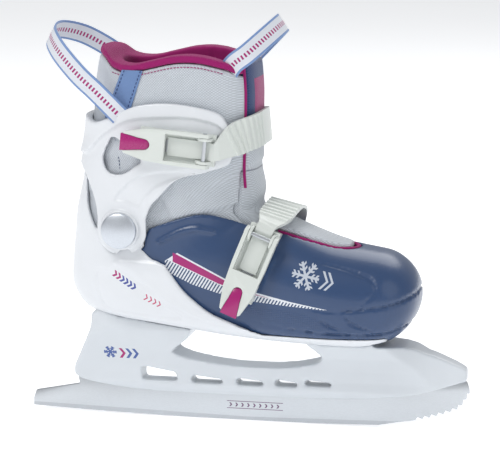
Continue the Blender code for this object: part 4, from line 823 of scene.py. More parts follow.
def toe_paint(graph, base, x, y, z):
    """White, magenta and hatched stripe, a pale crystal, and a dotted lower band."""
    white, accent = srgb(228, 232, 238), tuple(colours().accent)
    top = graph.profile(x, STRIPE_TOP)
    middle = graph.profile(x, STRIPE_MIDDLE)
    low = graph.profile(x, STRIPE_LOW)
    left = graph.over(x, graph.profile(z, STRIPE_LEFT))
    right = graph.below(x, 60.0)
    stripe = graph.every(graph.below(z, top), graph.over(z, middle), left, right)
    inner = graph.every(graph.below(z, graph.less(top, 1.2)),
                        graph.over(z, graph.plus(middle, 0.5)),
                        graph.over(x, -42.5), graph.below(x, 44.0))
    hatch_zone = graph.every(graph.below(z, middle), graph.over(z, low), left, right)
    slant = graph.less(x, graph.times(z, 0.62))
    hatch = graph.below(graph.math("FRACT", graph.math("DIVIDE", slant, 2.3)), 0.55)
    colour = graph.mix(stripe, base, white)
    colour = graph.mix(inner, colour, accent)
    colour = graph.mix(graph.every(hatch_zone, hatch), colour, white)
    u, v = turned_place(graph, x, z, (46.0, 106.5), -12.0)
    mark = crystal(graph, u, v, 9.0, 0.75)
    side = graph.below(y, 0.0)
    bars = graph.every(chevrons(graph, u, v, (14.5, 18.0), 5.5, 0.8), side)
    colour = graph.mix(graph.any(graph.every(mark, side), bars), colour, srgb(196, 203, 214))
    upper = graph.profile(x, ((-10.0, 86.0), (12.0, 84.5), (38.9, 83.5), (52.0, 80.0), (62.0, 74.0)))
    lower = graph.profile(x, ((-10.0, 84.0), (24.7, 76.0), (62.0, 71.5)))
    band = graph.every(graph.below(z, upper), graph.over(z, lower),
                       graph.over(x, -10.0), graph.below(x, 62.0))
    dots = graph.times(graph.math("SINE", graph.times(graph.plus(x, z), 2.6)),
                      graph.math("SINE", graph.times(graph.less(x, z), 2.6)))
    return colour, graph.every(band, dots)


def heel_paint(graph, base, x, y, z):
    """Two small rows of arrow heads on the wing."""
    side = graph.below(y, 0.0)
    u, v = turned_place(graph, x, z, (-72.5, 97.0), -32.0)
    first = graph.every(chevrons(graph, u, v, (-9.0, -6.0), 2.4, 0.8), side)
    second = graph.every(chevrons(graph, u, v, (-3.0, 0.0, 3.0, 6.0), 2.4, 0.8), side)
    colour = graph.mix(first, base, tuple(colours().accent))
    colour = graph.mix(second, colour, srgb(72, 84, 160))
    u, v = turned_place(graph, x, z, (-54.0, 84.5), -26.0)
    third = graph.every(chevrons(graph, u, v, (-6.0, -2.8, 0.4, 3.6), 2.2, 0.5), side)
    return graph.mix(third, colour, srgb(196, 70, 110)), None


def post_paint(graph, base, x, y, z):
    """A small crystal and arrow heads on the rear post."""
    side = graph.below(y, 0.0)
    u, v = turned_place(graph, x, z, (-91.0, 44.5), 0.0)
    mark = graph.every(crystal(graph, u, v, 4.4, 0.55), side)
    u, v = turned_place(graph, x, z, (-78.0, 44.0), 0.0)
    first = graph.every(chevrons(graph, u, v, (-3.5,), 3.6, 1.0), side)
    rest = graph.every(chevrons(graph, u, v, (1.0, 5.5), 3.6, 1.0), side)
    colour = graph.mix(graph.any(mark, rest), base, srgb(70, 96, 160))
    return graph.mix(first, colour, tuple(colours().accent)), None


def blade_paint(graph, base, x, y, z):
    """A faint etched row on the blade, and a darker band along its bottom edge."""
    u, v = turned_place(graph, x, z, (5.0, 10.0), 0.0)
    etched = graph.every(chevrons(graph, u, v, tuple(-16.0 + 4.0 * i for i in range(9)), 1.3, 0.55),
                         graph.near(u, 0.0, 19.0))
    rules = graph.every(graph.near(graph.size(v), 2.4, 0.22), graph.near(u, 0.0, 19.0))
    colour = graph.mix(graph.any(etched, rules), base, srgb(120, 96, 120))
    # a darker grey band along the blade's bottom, 2.2 mm high and rising slightly towards the ends
    ground = graph.below(z, graph.plus(graph.times(graph.size(x), 0.02), 2.2))
    return graph.mix(graph.times(ground, 0.35), colour, srgb(150, 154, 160)), None


def tongue_paint(graph, light, dark, x, y, z):
    """Dark blue top with a magenta panel, over light mesh."""
    navy, accent = tuple(colours().navy), tuple(colours().accent)
    high = graph.over(z, 197.0)
    panel = graph.every(graph.near(z, 219.0, 11.0), graph.near(y, 0.0, 15.0), graph.over(x, 2.0))
    seam = graph.every(graph.near(z, 170.5, 0.5), graph.over(x, 0.0))
    light = graph.mix(high, light, navy)
    dark = graph.mix(high, dark, tuple(c * 0.55 for c in navy))
    light = graph.mix(panel, light, accent)
    dark = graph.mix(panel, dark, tuple(c * 0.6 for c in accent))
    return graph.mix(seam, light, srgb(96, 102, 118)), dark


# ---------------------------------------------------------------- hard shells

def white_shell():
    return plastic("shell_white", colours().shell, 0.30)


def cut_screws(shell):
    """Room for the holder screws in the sole."""
    for name in ("front_lateral", "front_medial", "rear_lateral", "rear_medial"):
        low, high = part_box("holder_screw_" + name)
        x, y = (low.x + high.x) / 2.0 / MM, (low.y + high.y) / 2.0 / MM
        seat = high.z / MM - 2.5
        for radius, start, end in ((2.3, seat - 30.0, seat + 1.0), (4.8, seat - 0.3, seat + 25.0)):
            ring = [(x + radius * math.cos(a), y + radius * math.sin(a))
                    for a in np.linspace(0.0, 2.0 * math.pi, 32, endpoint=False)]
            minus(shell, plate(ring, start, end, "Z"))


HEEL_PANEL = ((-95.6, 99.1), (-92.9, 82.5), (-85.5, 76.6), (-59.8, 73.6), (-36.0, 73.6), (-48.5, 83.6),
              (-67.0, 96.5), (-84.0, 104.0), (-93.0, 104.0))
WING_PLANE = ((-82.0, 110.3), (-69.9, 103.4), (-45.2, 85.4), (-23.7, 75.6), (7.0, 68.6), (1.3, 71.2),
              (-15.5, 78.2), (-25.7, 85.2), (-35.8, 94.2), (-45.9, 107.3), (-50.5, 110.3))


def make_heel_shell():
    shell = within(boot(HEEL_OUT, SOLE, HEEL_OUT), plate(heel_outline(), -FAR, FAR))
    raised(shell, line(WING_PLANE, 3, True), HEEL_OUT + 1.1, SOLE, HEEL_OUT)
    sunk(shell, line(HEEL_PANEL, 4, True), HEEL_OUT - 0.9, SOLE, HEEL_OUT)
    minus(shell, boot(0.3))
    minus(shell, within(boot(CUFF_IN, SOLE), plate(toe_outline(0.3), -FAR, FAR)))
    cut_screws(shell)
    minus(shell, peg(*PIVOT, -FAR, FAR, PIVOT_BORE))
    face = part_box("size_button")[0].y / MM - 0.3
    joined(shell, peg(*BUTTON, face - 1.5, face + 2.6, BUTTON_COLLAR))
    minus(shell, peg(*BUTTON, 20.0, FAR, BUTTON_BORE))
    mould(shell, 1.0, 4)
    paint = plastic("heel_white", colours().shell, 0.30, heel_paint)
    tidy(shell, "heel_shell_finish", "chassis", ["heel_shell"], [paint])


TOE_BEAD = ((-52.4, 123.9), (-38.0, 131.0), (-27.2, 133.4), (-15.1, 131.6))
TOE_CREASE = ((12.6, 93.0), (38.9, 88.0), (60.9, 84.2), (84.8, 86.4), (103.0, 89.5), (122.0, 96.5))
TOE_SKIRT = ((-7.8, 80.2), (24.7, 72.7), (60.9, 69.2), (97.0, 69.6), (122.0, 77.5))
TOE_SWEEPS = (((53.8, 82.7), (59.8, 75.5), (70.6, 71.6)), ((70.6, 84.0), (76.7, 76.2), (90.0, 71.4)))
TOE_OVAL = ((50.0, 115.2), (66.0, 111.8), (80.0, 107.8), (88.6, 103.7), (90.5, 97.0), (82.0, 88.2))


def make_toe_shell():
    shell = within(boot(HEEL_OUT, SOLE), plate(toe_outline(), -FAR, FAR))
    raised(shell, stroke(TOE_BEAD, (0.8, 3.0, 1.0)), HEEL_OUT + 1.5, SOLE)
    sunk(shell, stroke(TOE_CREASE, (0.9, 2.2, 2.4)), HEEL_OUT - 1.6, SOLE)
    sunk(shell, stroke(TOE_SKIRT, (0.8, 2.2, 2.4)), HEEL_OUT - 1.6, SOLE)
    for sweep in TOE_SWEEPS:
        sunk(shell, stroke(sweep, (1.0, 3.0, 1.4)), HEEL_OUT - 1.5, SOLE)
    sunk(shell, stroke(TOE_OVAL, (1.4, 3.0, 1.4)), HEEL_OUT - 0.8, SOLE)
    minus(shell, boot(0.6))
    minus(shell, block((-LONG, -27.0, 0.0), (25.0, 27.0, 96.0)))
    minus(shell, plate(throat_outline(), 104.0, 200.0, "Z"))
    slot = arc(BUTTON, LATCH_SLOT, -90.0, 90.0, 12)
    slot += arc((BUTTON[0] - SIZE_TRAVEL, BUTTON[1]), LATCH_SLOT, 90.0, 270.0, 12)
    minus(shell, plate(slot, 15.0, 70.0))
    mould(shell, 1.0, 3)
    paint = plastic("toe_blue", colours().toe, 0.34, toe_paint, coat=0.35)
    tidy(shell, "toe_shell_finish", "toe_section", ["toe_shell"], [paint])


CUFF_SWOOP = ((-125.0, 181.0), (-103.0, 180.5), (-88.9, 192.9), (-72.1, 203.2), (-56.5, 206.1),
              (-31.6, 207.0), (-14.7, 203.7), (-7.9, 198.5), (-6.0, 190.0))
CUFF_CHANNEL = ((-80.5, 151.5), (-75.6, 158.3), (-65.5, 166.8), (-50.7, 170.9), (-24.0, 172.0),
                (-29.7, 169.2), (-37.9, 166.4), (-50.7, 161.6), (-60.2, 153.2), (-63.5, 147.3),
                (-72.6, 150.7))


def make_cuff():
    shell = minus(boot(CUFF_OUT), boot(CUFF_IN))
    outline = cuff_outline()
    within(shell, plate(outline, -FAR, FAR))
    swoop = plate(line(CUFF_SWOOP, 4) + [(20.0, 190.0), (20.0, 240.0), (-125.0, 240.0)], -FAR, FAR)
    band = within(minus(boot(CUFF_OUT + 1.7), boot(CUFF_OUT - 1.0)), swoop, plate(outline, -FAR, FAR))
    joined(shell, band)
    sunk(shell, line(CUFF_CHANNEL, 4, True), CUFF_OUT - 1.1)
    for side in (-1.0, 1.0):
        boss = peg(*PIVOT, side * 35.4, side * 42.0, 13.0)
        joined(shell, boss)
        disc = plate(arc(PIVOT, 31.0, 0.0, 345.0, 23), side * 15.0, side * 70.0)
        minus(shell, within(boot(CUFF_IN + 0.75, 0.0, 3.9), disc))
    minus(shell, peg(*PIVOT, -FAR, FAR, PIVOT_BORE))
    window = line(CUFF_WINDOW, 6, True)
    minus(shell, plate(window, -FAR, FAR))
    mould(shell, 0.8, 5)
    tidy(shell, "cuff_finish", "ankle_cuff", ["cuff"], [white_shell()])


def copy_node(node, name):
    """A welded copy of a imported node, with its flat faces whole again."""
    source = frame["nodes"][node]
    thing = bpy.data.objects.new(name, source.data.copy())
    bpy.context.scene.collection.objects.link(thing)
    thing.data.materials.clear()
    pick(thing)
    bpy.ops.mesh.customdata_custom_splitnormals_clear()
    shape = bmesh.new()
    shape.from_mesh(thing.data)
    bmesh.ops.remove_doubles(shape, verts=shape.verts, dist=0.002 * MM)
    bmesh.ops.dissolve_limit(shape, angle_limit=math.radians(0.4), verts=shape.verts, edges=shape.edges)
    shape.to_mesh(thing.data)
    shape.free()
    return thing


def make_holder():
    holder = copy_node("blade_holder", "holder")
    mould(holder, 0.9, 10)
    paint = plastic("holder_white", srgb(216, 221, 226), 0.32, post_paint)
    tidy(holder, "blade_holder_finish", "chassis", ["blade_holder"], [paint])


def eased_copy(node, body, surface, width, angle=32.0):
    """A welded copy with its hard edges rounded."""
    thing = copy_node(node, node + "_finish")
    bevel = thing.modifiers.new("edges", "BEVEL")
    bevel.width = width * MM
    bevel.segments = 2
    bevel.limit_method = "ANGLE"
    bevel.angle_limit = math.radians(angle)
    bevel.use_clamp_overlap = True
    apply_last(thing, bevel)
    bpy.ops.object.shade_smooth_by_angle(angle=math.radians(38.0))
    tidy(thing, node + "_finish", body, [node], [surface])
    return thing


# ---------------------------------------------------------------- soft pieces

def lower_region():
    rim = arc(PIVOT, INNER_RADIUS, 15.0, 170.0, 24)
    ray_z = PIVOT[1] + (19.85 - PIVOT[0]) * math.tan(math.radians(15.0))
    return [(19.85, ray_z)] + rim + [(-LONG, rim[-1][1]), (-LONG, 20.0), (19.85, 20.0)]


def upper_region(top):
    turn = math.radians(UPPER_ANGLE)
    ray = (PIVOT[0] + LONG * math.cos(turn), PIVOT[1] + LONG * math.sin(turn))
    rim = arc(PIVOT, OUTER_RADIUS, UPPER_ANGLE, 150.0, 24)
    back = (PIVOT[0] - 200.0, rim[-1][1] + 40.0)
    return [ray] + rim + [back, (back[0], top[0][1])] + top


def middle_region():
    """The ring and wedge between the foot's and the leg's lining, where the fabric folds."""
    inner = arc(PIVOT, 34.0, 13.0, 172.0, 24)
    high_x = 19.85
    low_z = PIVOT[1] + (high_x - PIVOT[0]) * math.tan(math.radians(13.0))
    high_z = PIVOT[1] + (high_x - PIVOT[0]) * math.tan(math.radians(30.0))
    rim = arc(PIVOT, 50.0, 30.0, 150.0, 24)
    return ([(high_x, low_z)] + inner + [(-LONG, inner[-1][1]), (-LONG, 200.0), (rim[-1][0], 200.0)]
            + rim[::-1] + [(high_x, high_z)])


def mesh_cloth():
    return cloth("lining_mesh", colours().mesh, 0.62)


def accent_cloth():
    return cloth("accent_lining", colours().accent, 0.62, pitch=0.9 * MM, sheen=0.12)


def mark_inside(thing, depth_outline):
    """Give faces that look towards the leg's middle the second material."""
    for face in thing.data.polygons:
        centre = face.center / MM
        towards = Vector((-44.0 - centre.x, -centre.y, 0.0))
        if centre.z > depth_outline and face.normal.dot(towards) > 0.35 * towards.length:
            face.material_index = 1


def make_lining():
    lining = within(boot(0.0), plate(lower_region(), -FAR, FAR))
    joined(lining, within(boot(0.2), plate(middle_region(), -FAR, FAR)))
    fold = within(boot(1.9), plate(middle_region(), -FAR, FAR))
    minus(fold, plate(heel_outline(), -FAR, FAR))
    joined(lining, fold)
    joined(lining, within(boot(3.0), plate(upper_region(rim_outline(-3.0)), -FAR, FAR)))
    minus(lining, boot(-LINING_WALL))
    minus(lining, block((-20.0, -TONGUE_HALF, 120.0), (LONG, TONGUE_HALF, 320.0)))
    for side in (-1.0, 1.0):
        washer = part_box("pivot_bolt_medial")[0].y / MM - 0.8
        minus(lining, peg(*PIVOT, side * washer, side * 60.0, 8.6))
    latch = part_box("size_spring")[0].y / MM - 0.6
    minus(lining, peg(*BUTTON, latch, 60.0, 4.1))
    longest = [(x if x < -40.0 else x + SIZE_TRAVEL, z) for x, z in toe_outline(0.3)]
    moved = within(boot(CUFF_IN, SOLE), plate(longest, -FAR, FAR))
    minus(moved, boot(0.3))
    minus(moved, block((-LONG, -26.7, 0.0), (25.0, 26.7, 96.0)))
    minus(lining, moved)
    mould(lining, 1.15, 14)
    lining.data.materials.append(mesh_cloth())
    lining.data.materials.append(accent_cloth())
    mark_inside(lining, 175.0)
    tidy(lining, "ankle_lining", None, ["liner_lower", "liner_upper"], [])
    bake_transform(lining)

    toe = within(boot(0.0), block((20.15, -70.0, 0.0), (LONG, FAR, 200.0)))
    minus(toe, boot(-LINING_WALL))
    mould(toe, 1.2, 6)
    tidy(toe, "toe_lining", "toe_section", ["liner_toe"], [mesh_cloth()])


def make_tongue():
    """The padded tongue over the instep and up the shin, and its tip in the toe."""
    fabric = cloth("tongue_mesh", colours().mesh, 0.62, tongue_paint)
    leg = within(boot(3.0), plate(upper_region(rim_outline(5.0)), -FAR, FAR))
    joined(leg, within(boot(1.6), plate(middle_region(), -FAR, FAR)))
    foot = within(boot(1.6), plate(lower_region(), -FAR, FAR))
    minus(foot, block((-LONG, -FAR, 0.0), (-19.5, 70.0, HIGH)))
    joined(leg, foot)
    minus(leg, boot(-LINING_WALL))
    within(leg, block((-30.0, -TONGUE_HALF + 0.4, 120.3), (LONG, TONGUE_HALF - 0.4, 320.0)))
    under = within(minus(boot(1.5), boot(0.3)), plate(throat_outline(2.2), 110.0, 200.0, "Z"))
    within(under, block((15.0, -70.0, 0.0), (42.0, 70.0, HIGH)))
    joined(leg, under)
    mould(leg, 1.0, 12)
    tidy(leg, "tongue", None, ["tongue_lower", "tongue_upper"], [fabric])
    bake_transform(leg)

    tip = within(minus(boot(4.6), boot(0.3)), plate(throat_outline(2.8), 108.0, 200.0, "Z"))
    within(tip, block((22.0, -70.0, 0.0), (70.0, 70.0, HIGH)))
    minus(tip, within(boot(1.8), block((0.0, -70.0, 0.0), (44.0, 70.0, HIGH))))
    mould(tip, 0.8, 14)
    tidy(tip, "tongue_tip", "toe_section", [], [fabric])


def make_collar():
    """The padded magenta rim, rolled over the lining's top edge."""
    pad = within(boot(-5.3), plate(upper_region(rim_outline(1.5)), -FAR, FAR))
    within(pad, block((-LONG, -FAR, 206.0), (LONG, FAR, HIGH)))
    minus(pad, boot(-COLLAR_WALL))
    rim_low = rim_outline(-2.6)
    rim_high = rim_outline(2.2)
    roll = within(boot(3.4), plate(rim_low + rim_high[::-1], -FAR, FAR))
    minus(roll, boot(-11.5))
    joined(pad, roll)
    minus(pad, block((-30.0, -TONGUE_HALF - 0.3, 0.0), (LONG, TONGUE_HALF + 0.3, HIGH)))
    mould(pad, 1.0, 16)
    tidy(pad, "collar", "ankle_cuff", ["collar_pad"], [accent_cloth()])


def tube(points, radius, name):
    """A round piping through millimetre points, made from a bevelled curve."""
    data = bpy.data.curves.new(name, "CURVE")
    data.dimensions = "3D"
    data.bevel_depth = radius * MM
    data.bevel_resolution = 3
    data.use_fill_caps = True
    spline = data.splines.new("POLY")
    spline.points.add(len(points) - 1)
    for target, point in zip(spline.points, points):
        target.co = (*(Vector(point) * MM), 1.0)
    thing = bpy.data.objects.new(name, data)
    bpy.context.scene.collection.objects.link(thing)
    pick(thing)
    bpy.ops.object.convert(target="MESH")
    bpy.ops.object.shade_smooth()
    return bpy.context.active_object


def leg_size(z):
    """Half width, back and front of the leg at a height."""
    heights = [station[1][1] for station in STATIONS]
    leg = STATIONS[FIRST_LEG_STATION:]
    half = float(np.interp(z, heights, [station[2] for station in STATIONS]))
    back = float(np.interp(z, [station[0][1] for station in leg], [station[0][0] for station in leg]))
    front = float(np.interp(z, heights, [station[1][0] for station in STATIONS]))
    return half, back, front


def front_point(z, y, offset):
    """A point on the front of the leg at a height and distance from the middle."""
    half, back, front = leg_size(z)
    half, front = half + offset, front + offset
    reach = (front - back) / 2.0
    x = (front + back) / 2.0 + reach * (1.0 - (abs(y) / half) ** 3.0) ** (1.0 / 3.0)
    return Vector((x, y, z))


def vamp_point(x, y, offset):
    """A point on top of the foot."""
    tops = [(116.7, 81.0), (120.5, 60.0), (128.5, 38.0), (136.0, 22.0), (141.5, 13.0)][::-1]
    xs = [t[1] for t in tops]
    high = np.interp(x, xs, [t[0] for t in tops]) + offset
    half = np.interp(x, xs, [34.0, 36.0, 38.0, 39.0, 37.0]) + offset
    low = 65.5 - offset
    reach = (high - low) / 2.0
    z = (high + low) / 2.0 + reach * (1.0 - (abs(y) / half) ** 2.2) ** (1.0 / 2.2)
    return Vector((x, y, z))


def make_piping():
    """Magenta piping on the lining's front edges and round the toe opening."""
    radius = sizes().piping / MM
    surface = accent_cloth()
    for name, side in (("lateral", -1.0), ("medial", 1.0)):
        heights = np.linspace(160.0, 238.0, 40)
        points = [front_point(z, side * (TONGUE_HALF + 1.2), 2.9) for z in heights]
        edge = tube(points, radius * 0.9, "front_piping_" + name)
        tidy(edge, "front_piping_" + name, "ankle_cuff", [], [surface])
    outline = [p for p in throat_outline(1.6) if p[0] > 24.0]
    half = [p for p in outline if p[1] >= 0.0]
    points = [vamp_point(x, y, 1.6) for x, y in half[::-1]] + [vamp_point(x, -y, 1.6) for x, y in half[1:]]
    ring = tube([tuple(p) for p in curve_through(points, 2)], radius * 1.25, "throat_piping")
    tidy(ring, "throat_piping", "toe_section", [], [surface])


STITCH_RINGS = ((-0.5, 0.12, -0.15), (-0.3, 0.28, 0.25), (0.3, 0.28, 0.25), (0.5, 0.12, -0.15))


def stitch_row(points, name, body, colour, spacing=2.6):
    """Sewn thread: one small stitch copied along a line of (place, outward) pairs."""
    length = sizes().stitch / MM
    vertices, faces = [], []
    places = [Vector(p) for p, _ in points]
    outs = [Vector(o) for _, o in points]
    travelled, due = 0.0, 0.0
    for index in range(len(places) - 1):
        ahead = places[index + 1] - places[index]
        span = ahead.length
        while due <= travelled + span:
            share = (due - travelled) / span
            centre = places[index].lerp(places[index + 1], share)
            out = outs[index].lerp(outs[index + 1], share).normalized()
            along = ahead.normalized()
            side = along.cross(out).normalized()
            start = len(vertices)
            for step, width, rise in STITCH_RINGS:
                for u, v in ((-1.0, 0.0), (0.0, 1.0), (1.0, 0.0), (0.0, -1.0)):
                    vertices.append(centre + along * step * length + side * u * width
                                    + out * (rise + v * width))
            for level in range(3):
                for corner in range(4):
                    after = (corner + 1) % 4
                    a, b = start + level * 4 + corner, start + level * 4 + after
                    faces.append((a, a + 4, b + 4, b))
            faces.append((start, start + 1, start + 2, start + 3))
            faces.append((start + 15, start + 14, start + 13, start + 12))
            due += spacing
        travelled += span
    thing = add_mesh(name, vertices, faces)
    pick(thing)
    bpy.ops.object.mode_set(mode="EDIT")
    bpy.ops.mesh.select_all(action="SELECT")
    bpy.ops.mesh.normals_make_consistent(inside=False)
    bpy.ops.object.mode_set(mode="OBJECT")
    bpy.ops.object.shade_smooth()
    surface = plastic(name.split("_")[0] + "_thread", colour, 0.6, coat=0.0)
    tidy(thing, name, body, [], [surface])
    return thing


def side_run(line_points, offset, side=-1.0):
    """Points over the leg's side from side-view points, with the outward direction."""
    out = []
    for x, z in line_points:
        half, back, front = leg_size(z)
        half, back, front = half + offset, back - offset, front + offset
        along = (x - (front + back) / 2.0) / ((front - back) / 2.0)
        power = 3.0 if along > 0.0 else 2.7
        y = half * (1.0 - min(abs(along), 0.999) ** power) ** (1.0 / power)
        out.append(((x, side * y, z), (0.15 * along, side, 0.0)))
    return out


STRIP = ((-75.3, 236.0), (-60.6, 236.0), (-71.5, 203.5), (-88.5, 203.5))


def make_trim():
    """Light blue strip that holds the rear loop, with its stitches."""
    surface = cloth("trim_tape", colours().trim, 0.72, pitch=0.8 * MM, sheen=0.2)
    for name, side in (("lateral", -1.0), ("medial", 1.0)):
        start, end = (30.0, 70.0) if side > 0.0 else (-70.0, -30.0)
        strip = within(minus(boot(3.9), boot(3.0)), plate(STRIP, start, end))
        mould(strip, 0.45, 3)
        tidy(strip, "trim_strip_" + name, "ankle_cuff", [], [surface])
        for edge, (top_x, low_x) in (("rear", (-73.6, -86.2)), ("front", (-62.4, -73.4))):
            run = [(top_x + (low_x - top_x) * t, 235.0 - 30.0 * t) for t in np.linspace(0.0, 1.0, 24)]
            stitch_row(side_run(run, 3.95, side), f"blue_stitches_{name}_{edge}", "ankle_cuff",
                       srgb(54, 70, 120))
    for name, side in (("lateral", -1.0), ("medial", 1.0)):
        run = ((-80.2, 190.0), (-79.0, 184.0), (-78.0, 178.0), (-77.4, 172.0), (-77.2, 166.0))
        fine = [tuple(p) for p in curve_through(run, 6)]
        stitch_row(side_run(fine, 3.05, side), f"grey_stitches_{name}", "ankle_cuff", srgb(92, 104, 132),
                   spacing=2.3)
        rim = [(x, z - 5.2) for x, z in line(COLLAR_RIM[2:8], 6)]
        stitch_row(side_run(rim, 3.1, side), f"accent_stitches_{name}", "ankle_cuff",
                   tuple(colours().accent), 2.2)


REAR_LOOP = ((-75.5, -39.6, 206.5), (-91.5, -40.0, 222.0), (-104.0, -37.5, 232.5), (-119.0, -28.0, 246.0),
             (-129.0, -10.0, 254.5), (-129.0, 10.0, 256.5), (-118.0, 27.0, 252.0), (-104.0, 36.0, 243.0),
             (-92.0, 39.8, 234.0))
REAR_TURN = ((0.70, 0.0, 0.71), (0.66, 0.0, 0.75), (0.45, 0.0, 0.89), (0.45, 0.0, 0.89), (0.60, 0.0, 0.80))
FRONT_LOOP = ((-9.0, -27.0, 232.0), (-3.0, -31.0, 240.5), (6.0, -31.0, 247.5), (17.0, -19.0, 258.0),
              (23.0, -3.0, 264.5), (20.0, 14.0, 263.0), (8.0, 28.0, 252.0), (-4.0, 33.0, 240.0),
              (-12.0, 30.0, 230.0))
FRONT_TURN = ((-0.80, 0.0, 0.60), (-0.75, 0.0, 0.66), (-0.55, 0.0, 0.83), (-0.60, 0.0, 0.80),
              (-0.80, 0.0, 0.60))


def webbing_material():
    found = bpy.data.materials.get("woven_webbing")
    if found:
        return found
    surface, graph, shader = start_material("woven_webbing")
    layout = graph.node("ShaderNodeUVMap", {"uv_map": "webbing"})
    split = graph.node("ShaderNodeSeparateXYZ")
    graph.feed(split, "0", layout.outputs[0])
    across, along = split.outputs[0], split.outputs[1]
    off = graph.size(graph.less(across, WEB_WIDTH / 2.0))
    edge = graph.over(off, WEB_WIDTH / 2.0 - 1.5)
    pitch = sizes().dash / MM
    dash = graph.every(graph.below(off, 1.5),
                       graph.below(graph.math("FRACT", graph.math("DIVIDE", along, pitch)), 0.5))
    colour = graph.mix(edge, srgb(228, 232, 240), tuple(colours().trim))
    colour = graph.mix(dash, colour, tuple(colours().accent))
    rib = graph.math("SINE", graph.times(along, 7.5))
    fill = graph.math("SINE", graph.times(across, 9.0))
    height = graph.math("MULTIPLY_ADD", graph.times(rib, fill), 0.5, 0.5)
    dim = graph.node("ShaderNodeHueSaturation", Value=0.86)
    graph.feed(dim, "Color", colour)
    graph.feed(shader, "Base Color", graph.mix(height, dim.outputs[0], colour))
    graph.feed(shader, "Roughness", graph.math("MULTIPLY_ADD", height, -0.1, 0.75))
    graph.feed(shader, "Normal", graph.bump(height, 0.6, 0.15 * MM))
    shader.inputs["Sheen Weight"].default_value = 0.3
    return surface


def make_web(name, points, turns, node):
    """A flat woven loop with soft edges, laid out so that its pattern follows it."""
    centres = curve_through(points, 10)
    thick = 1.3
    profile = [(-1.0, 0.35), (-0.96, 0.9), (-0.8, 1.0), (0.0, 1.0), (0.8, 1.0), (0.96, 0.9), (1.0, 0.35),
               (0.96, 0.0), (0.8, 0.0), (0.0, 0.0), (-0.8, 0.0), (-0.96, 0.0)]
    vertices, marks, travelled = [], [], 0.0
    for index, centre in enumerate(centres):
        share = index / (len(centres) - 1) * (len(turns) - 1)
        first = int(min(share, len(turns) - 2))
        across = Vector(turns[first]).lerp(Vector(turns[first + 1]), share - first)
        ahead = centres[min(index + 1, len(centres) - 1)] - centres[max(index - 1, 0)]
        across = (across - ahead * across.dot(ahead) / ahead.length_squared).normalized()
        out = across.cross(ahead).normalized()
        if index:
            travelled += (centre - centres[index - 1]).length
        for u, v in profile:
            vertices.append(centre + across * u * WEB_WIDTH / 2.0 + out * v * thick)
            marks.append(((u + 1.0) * WEB_WIDTH / 2.0, travelled))
    count = len(profile)
    faces = []
    for level in range(len(centres) - 1):
        for index in range(count):
            after = (index + 1) % count
            a, b = level * count + index, level * count + after
            faces.append((a, b, b + count, a + count))
    faces.append(tuple(reversed(range(count))))
    last = (len(centres) - 1) * count
    faces.append(tuple(range(last, last + count)))
    thing = add_mesh(name, vertices, faces)
    layout = thing.data.uv_layers.new(name="webbing")
    for loop in thing.data.loops:
        layout.data[loop.index].uv = marks[loop.vertex_index]
    pick(thing)
    bpy.ops.object.mode_set(mode="EDIT")
    bpy.ops.mesh.select_all(action="SELECT")
    bpy.ops.mesh.normals_make_consistent(inside=False)
    bpy.ops.object.mode_set(mode="OBJECT")
    bpy.ops.object.shade_smooth_by_angle(angle=math.radians(50.0))
    tidy(thing, name, "ankle_cuff", [node], [webbing_material()])


def make_loops():
    make_web("rear_pull_loop", REAR_LOOP, REAR_TURN, "rear_loop")
    make_web("front_pull_loop", FRONT_LOOP, FRONT_TURN, "front_loop")


# ---------------------------------------------------------------- buckles and metal

def make_buckles():
    """Levers, bases, straps and tabs of both ratchet buckles."""
    moulded = plastic("moulded_buckle", colours().buckle, 0.36, coat=0.15)
    magenta = plastic("moulded_tab", colours().accent, 0.28, coat=0.4)
    for name, fixed, lever, tab in (("top", "ankle_cuff", "top_lever_body", "top_release_tab"),
                                    ("instep", "toe_section", "instep_lever_body", "instep_release_tab")):
        eased_copy(name + "_base", fixed, moulded, 0.35)
        eased_copy(name + "_lever", lever, moulded, 0.7)
        assign(name + "_strap", moulded)
        eased_copy(name + "_tab", tab, magenta, 0.5)


METAL_NODES = ("instep_base_rivet", "instep_pin", "instep_strap_rivet", "instep_tab_pin",
               "instep_tab_spring", "top_base_rivet", "top_pin", "top_strap_rivet", "top_tab_pin",
               "top_tab_spring", "size_latch", "size_spring", "pivot_bolt_lateral",
               "pivot_bolt_medial", "pivot_washer_lateral", "pivot_washer_medial",
               "holder_screw_front_lateral", "holder_screw_front_medial",
               "holder_screw_rear_lateral", "holder_screw_rear_medial")


def assign(node, surface):
    slots = frame["nodes"][node].data.materials
    slots.clear()
    slots.append(surface)


def make_metal():
    """Ground blade, domed pivot caps and plated fasteners."""
    steel = metal("plated_steel", colours().steel, 0.22, (3.0, 3.0, 3.0))
    for node in METAL_NODES:
        assign(node, steel)
    ground = metal("ground_blade", colours().steel, 0.24, (0.6, 3.0, 8.0), blade_paint)
    eased_copy("blade", "chassis", ground, 0.35, 50.0)
    cap = metal("cap_satin", srgb(214, 219, 226), 0.30, (1.6, 1.6, 1.6))
    for side in ("lateral", "medial"):
        make_pivot_cap("pivot_cap_" + side, cap)


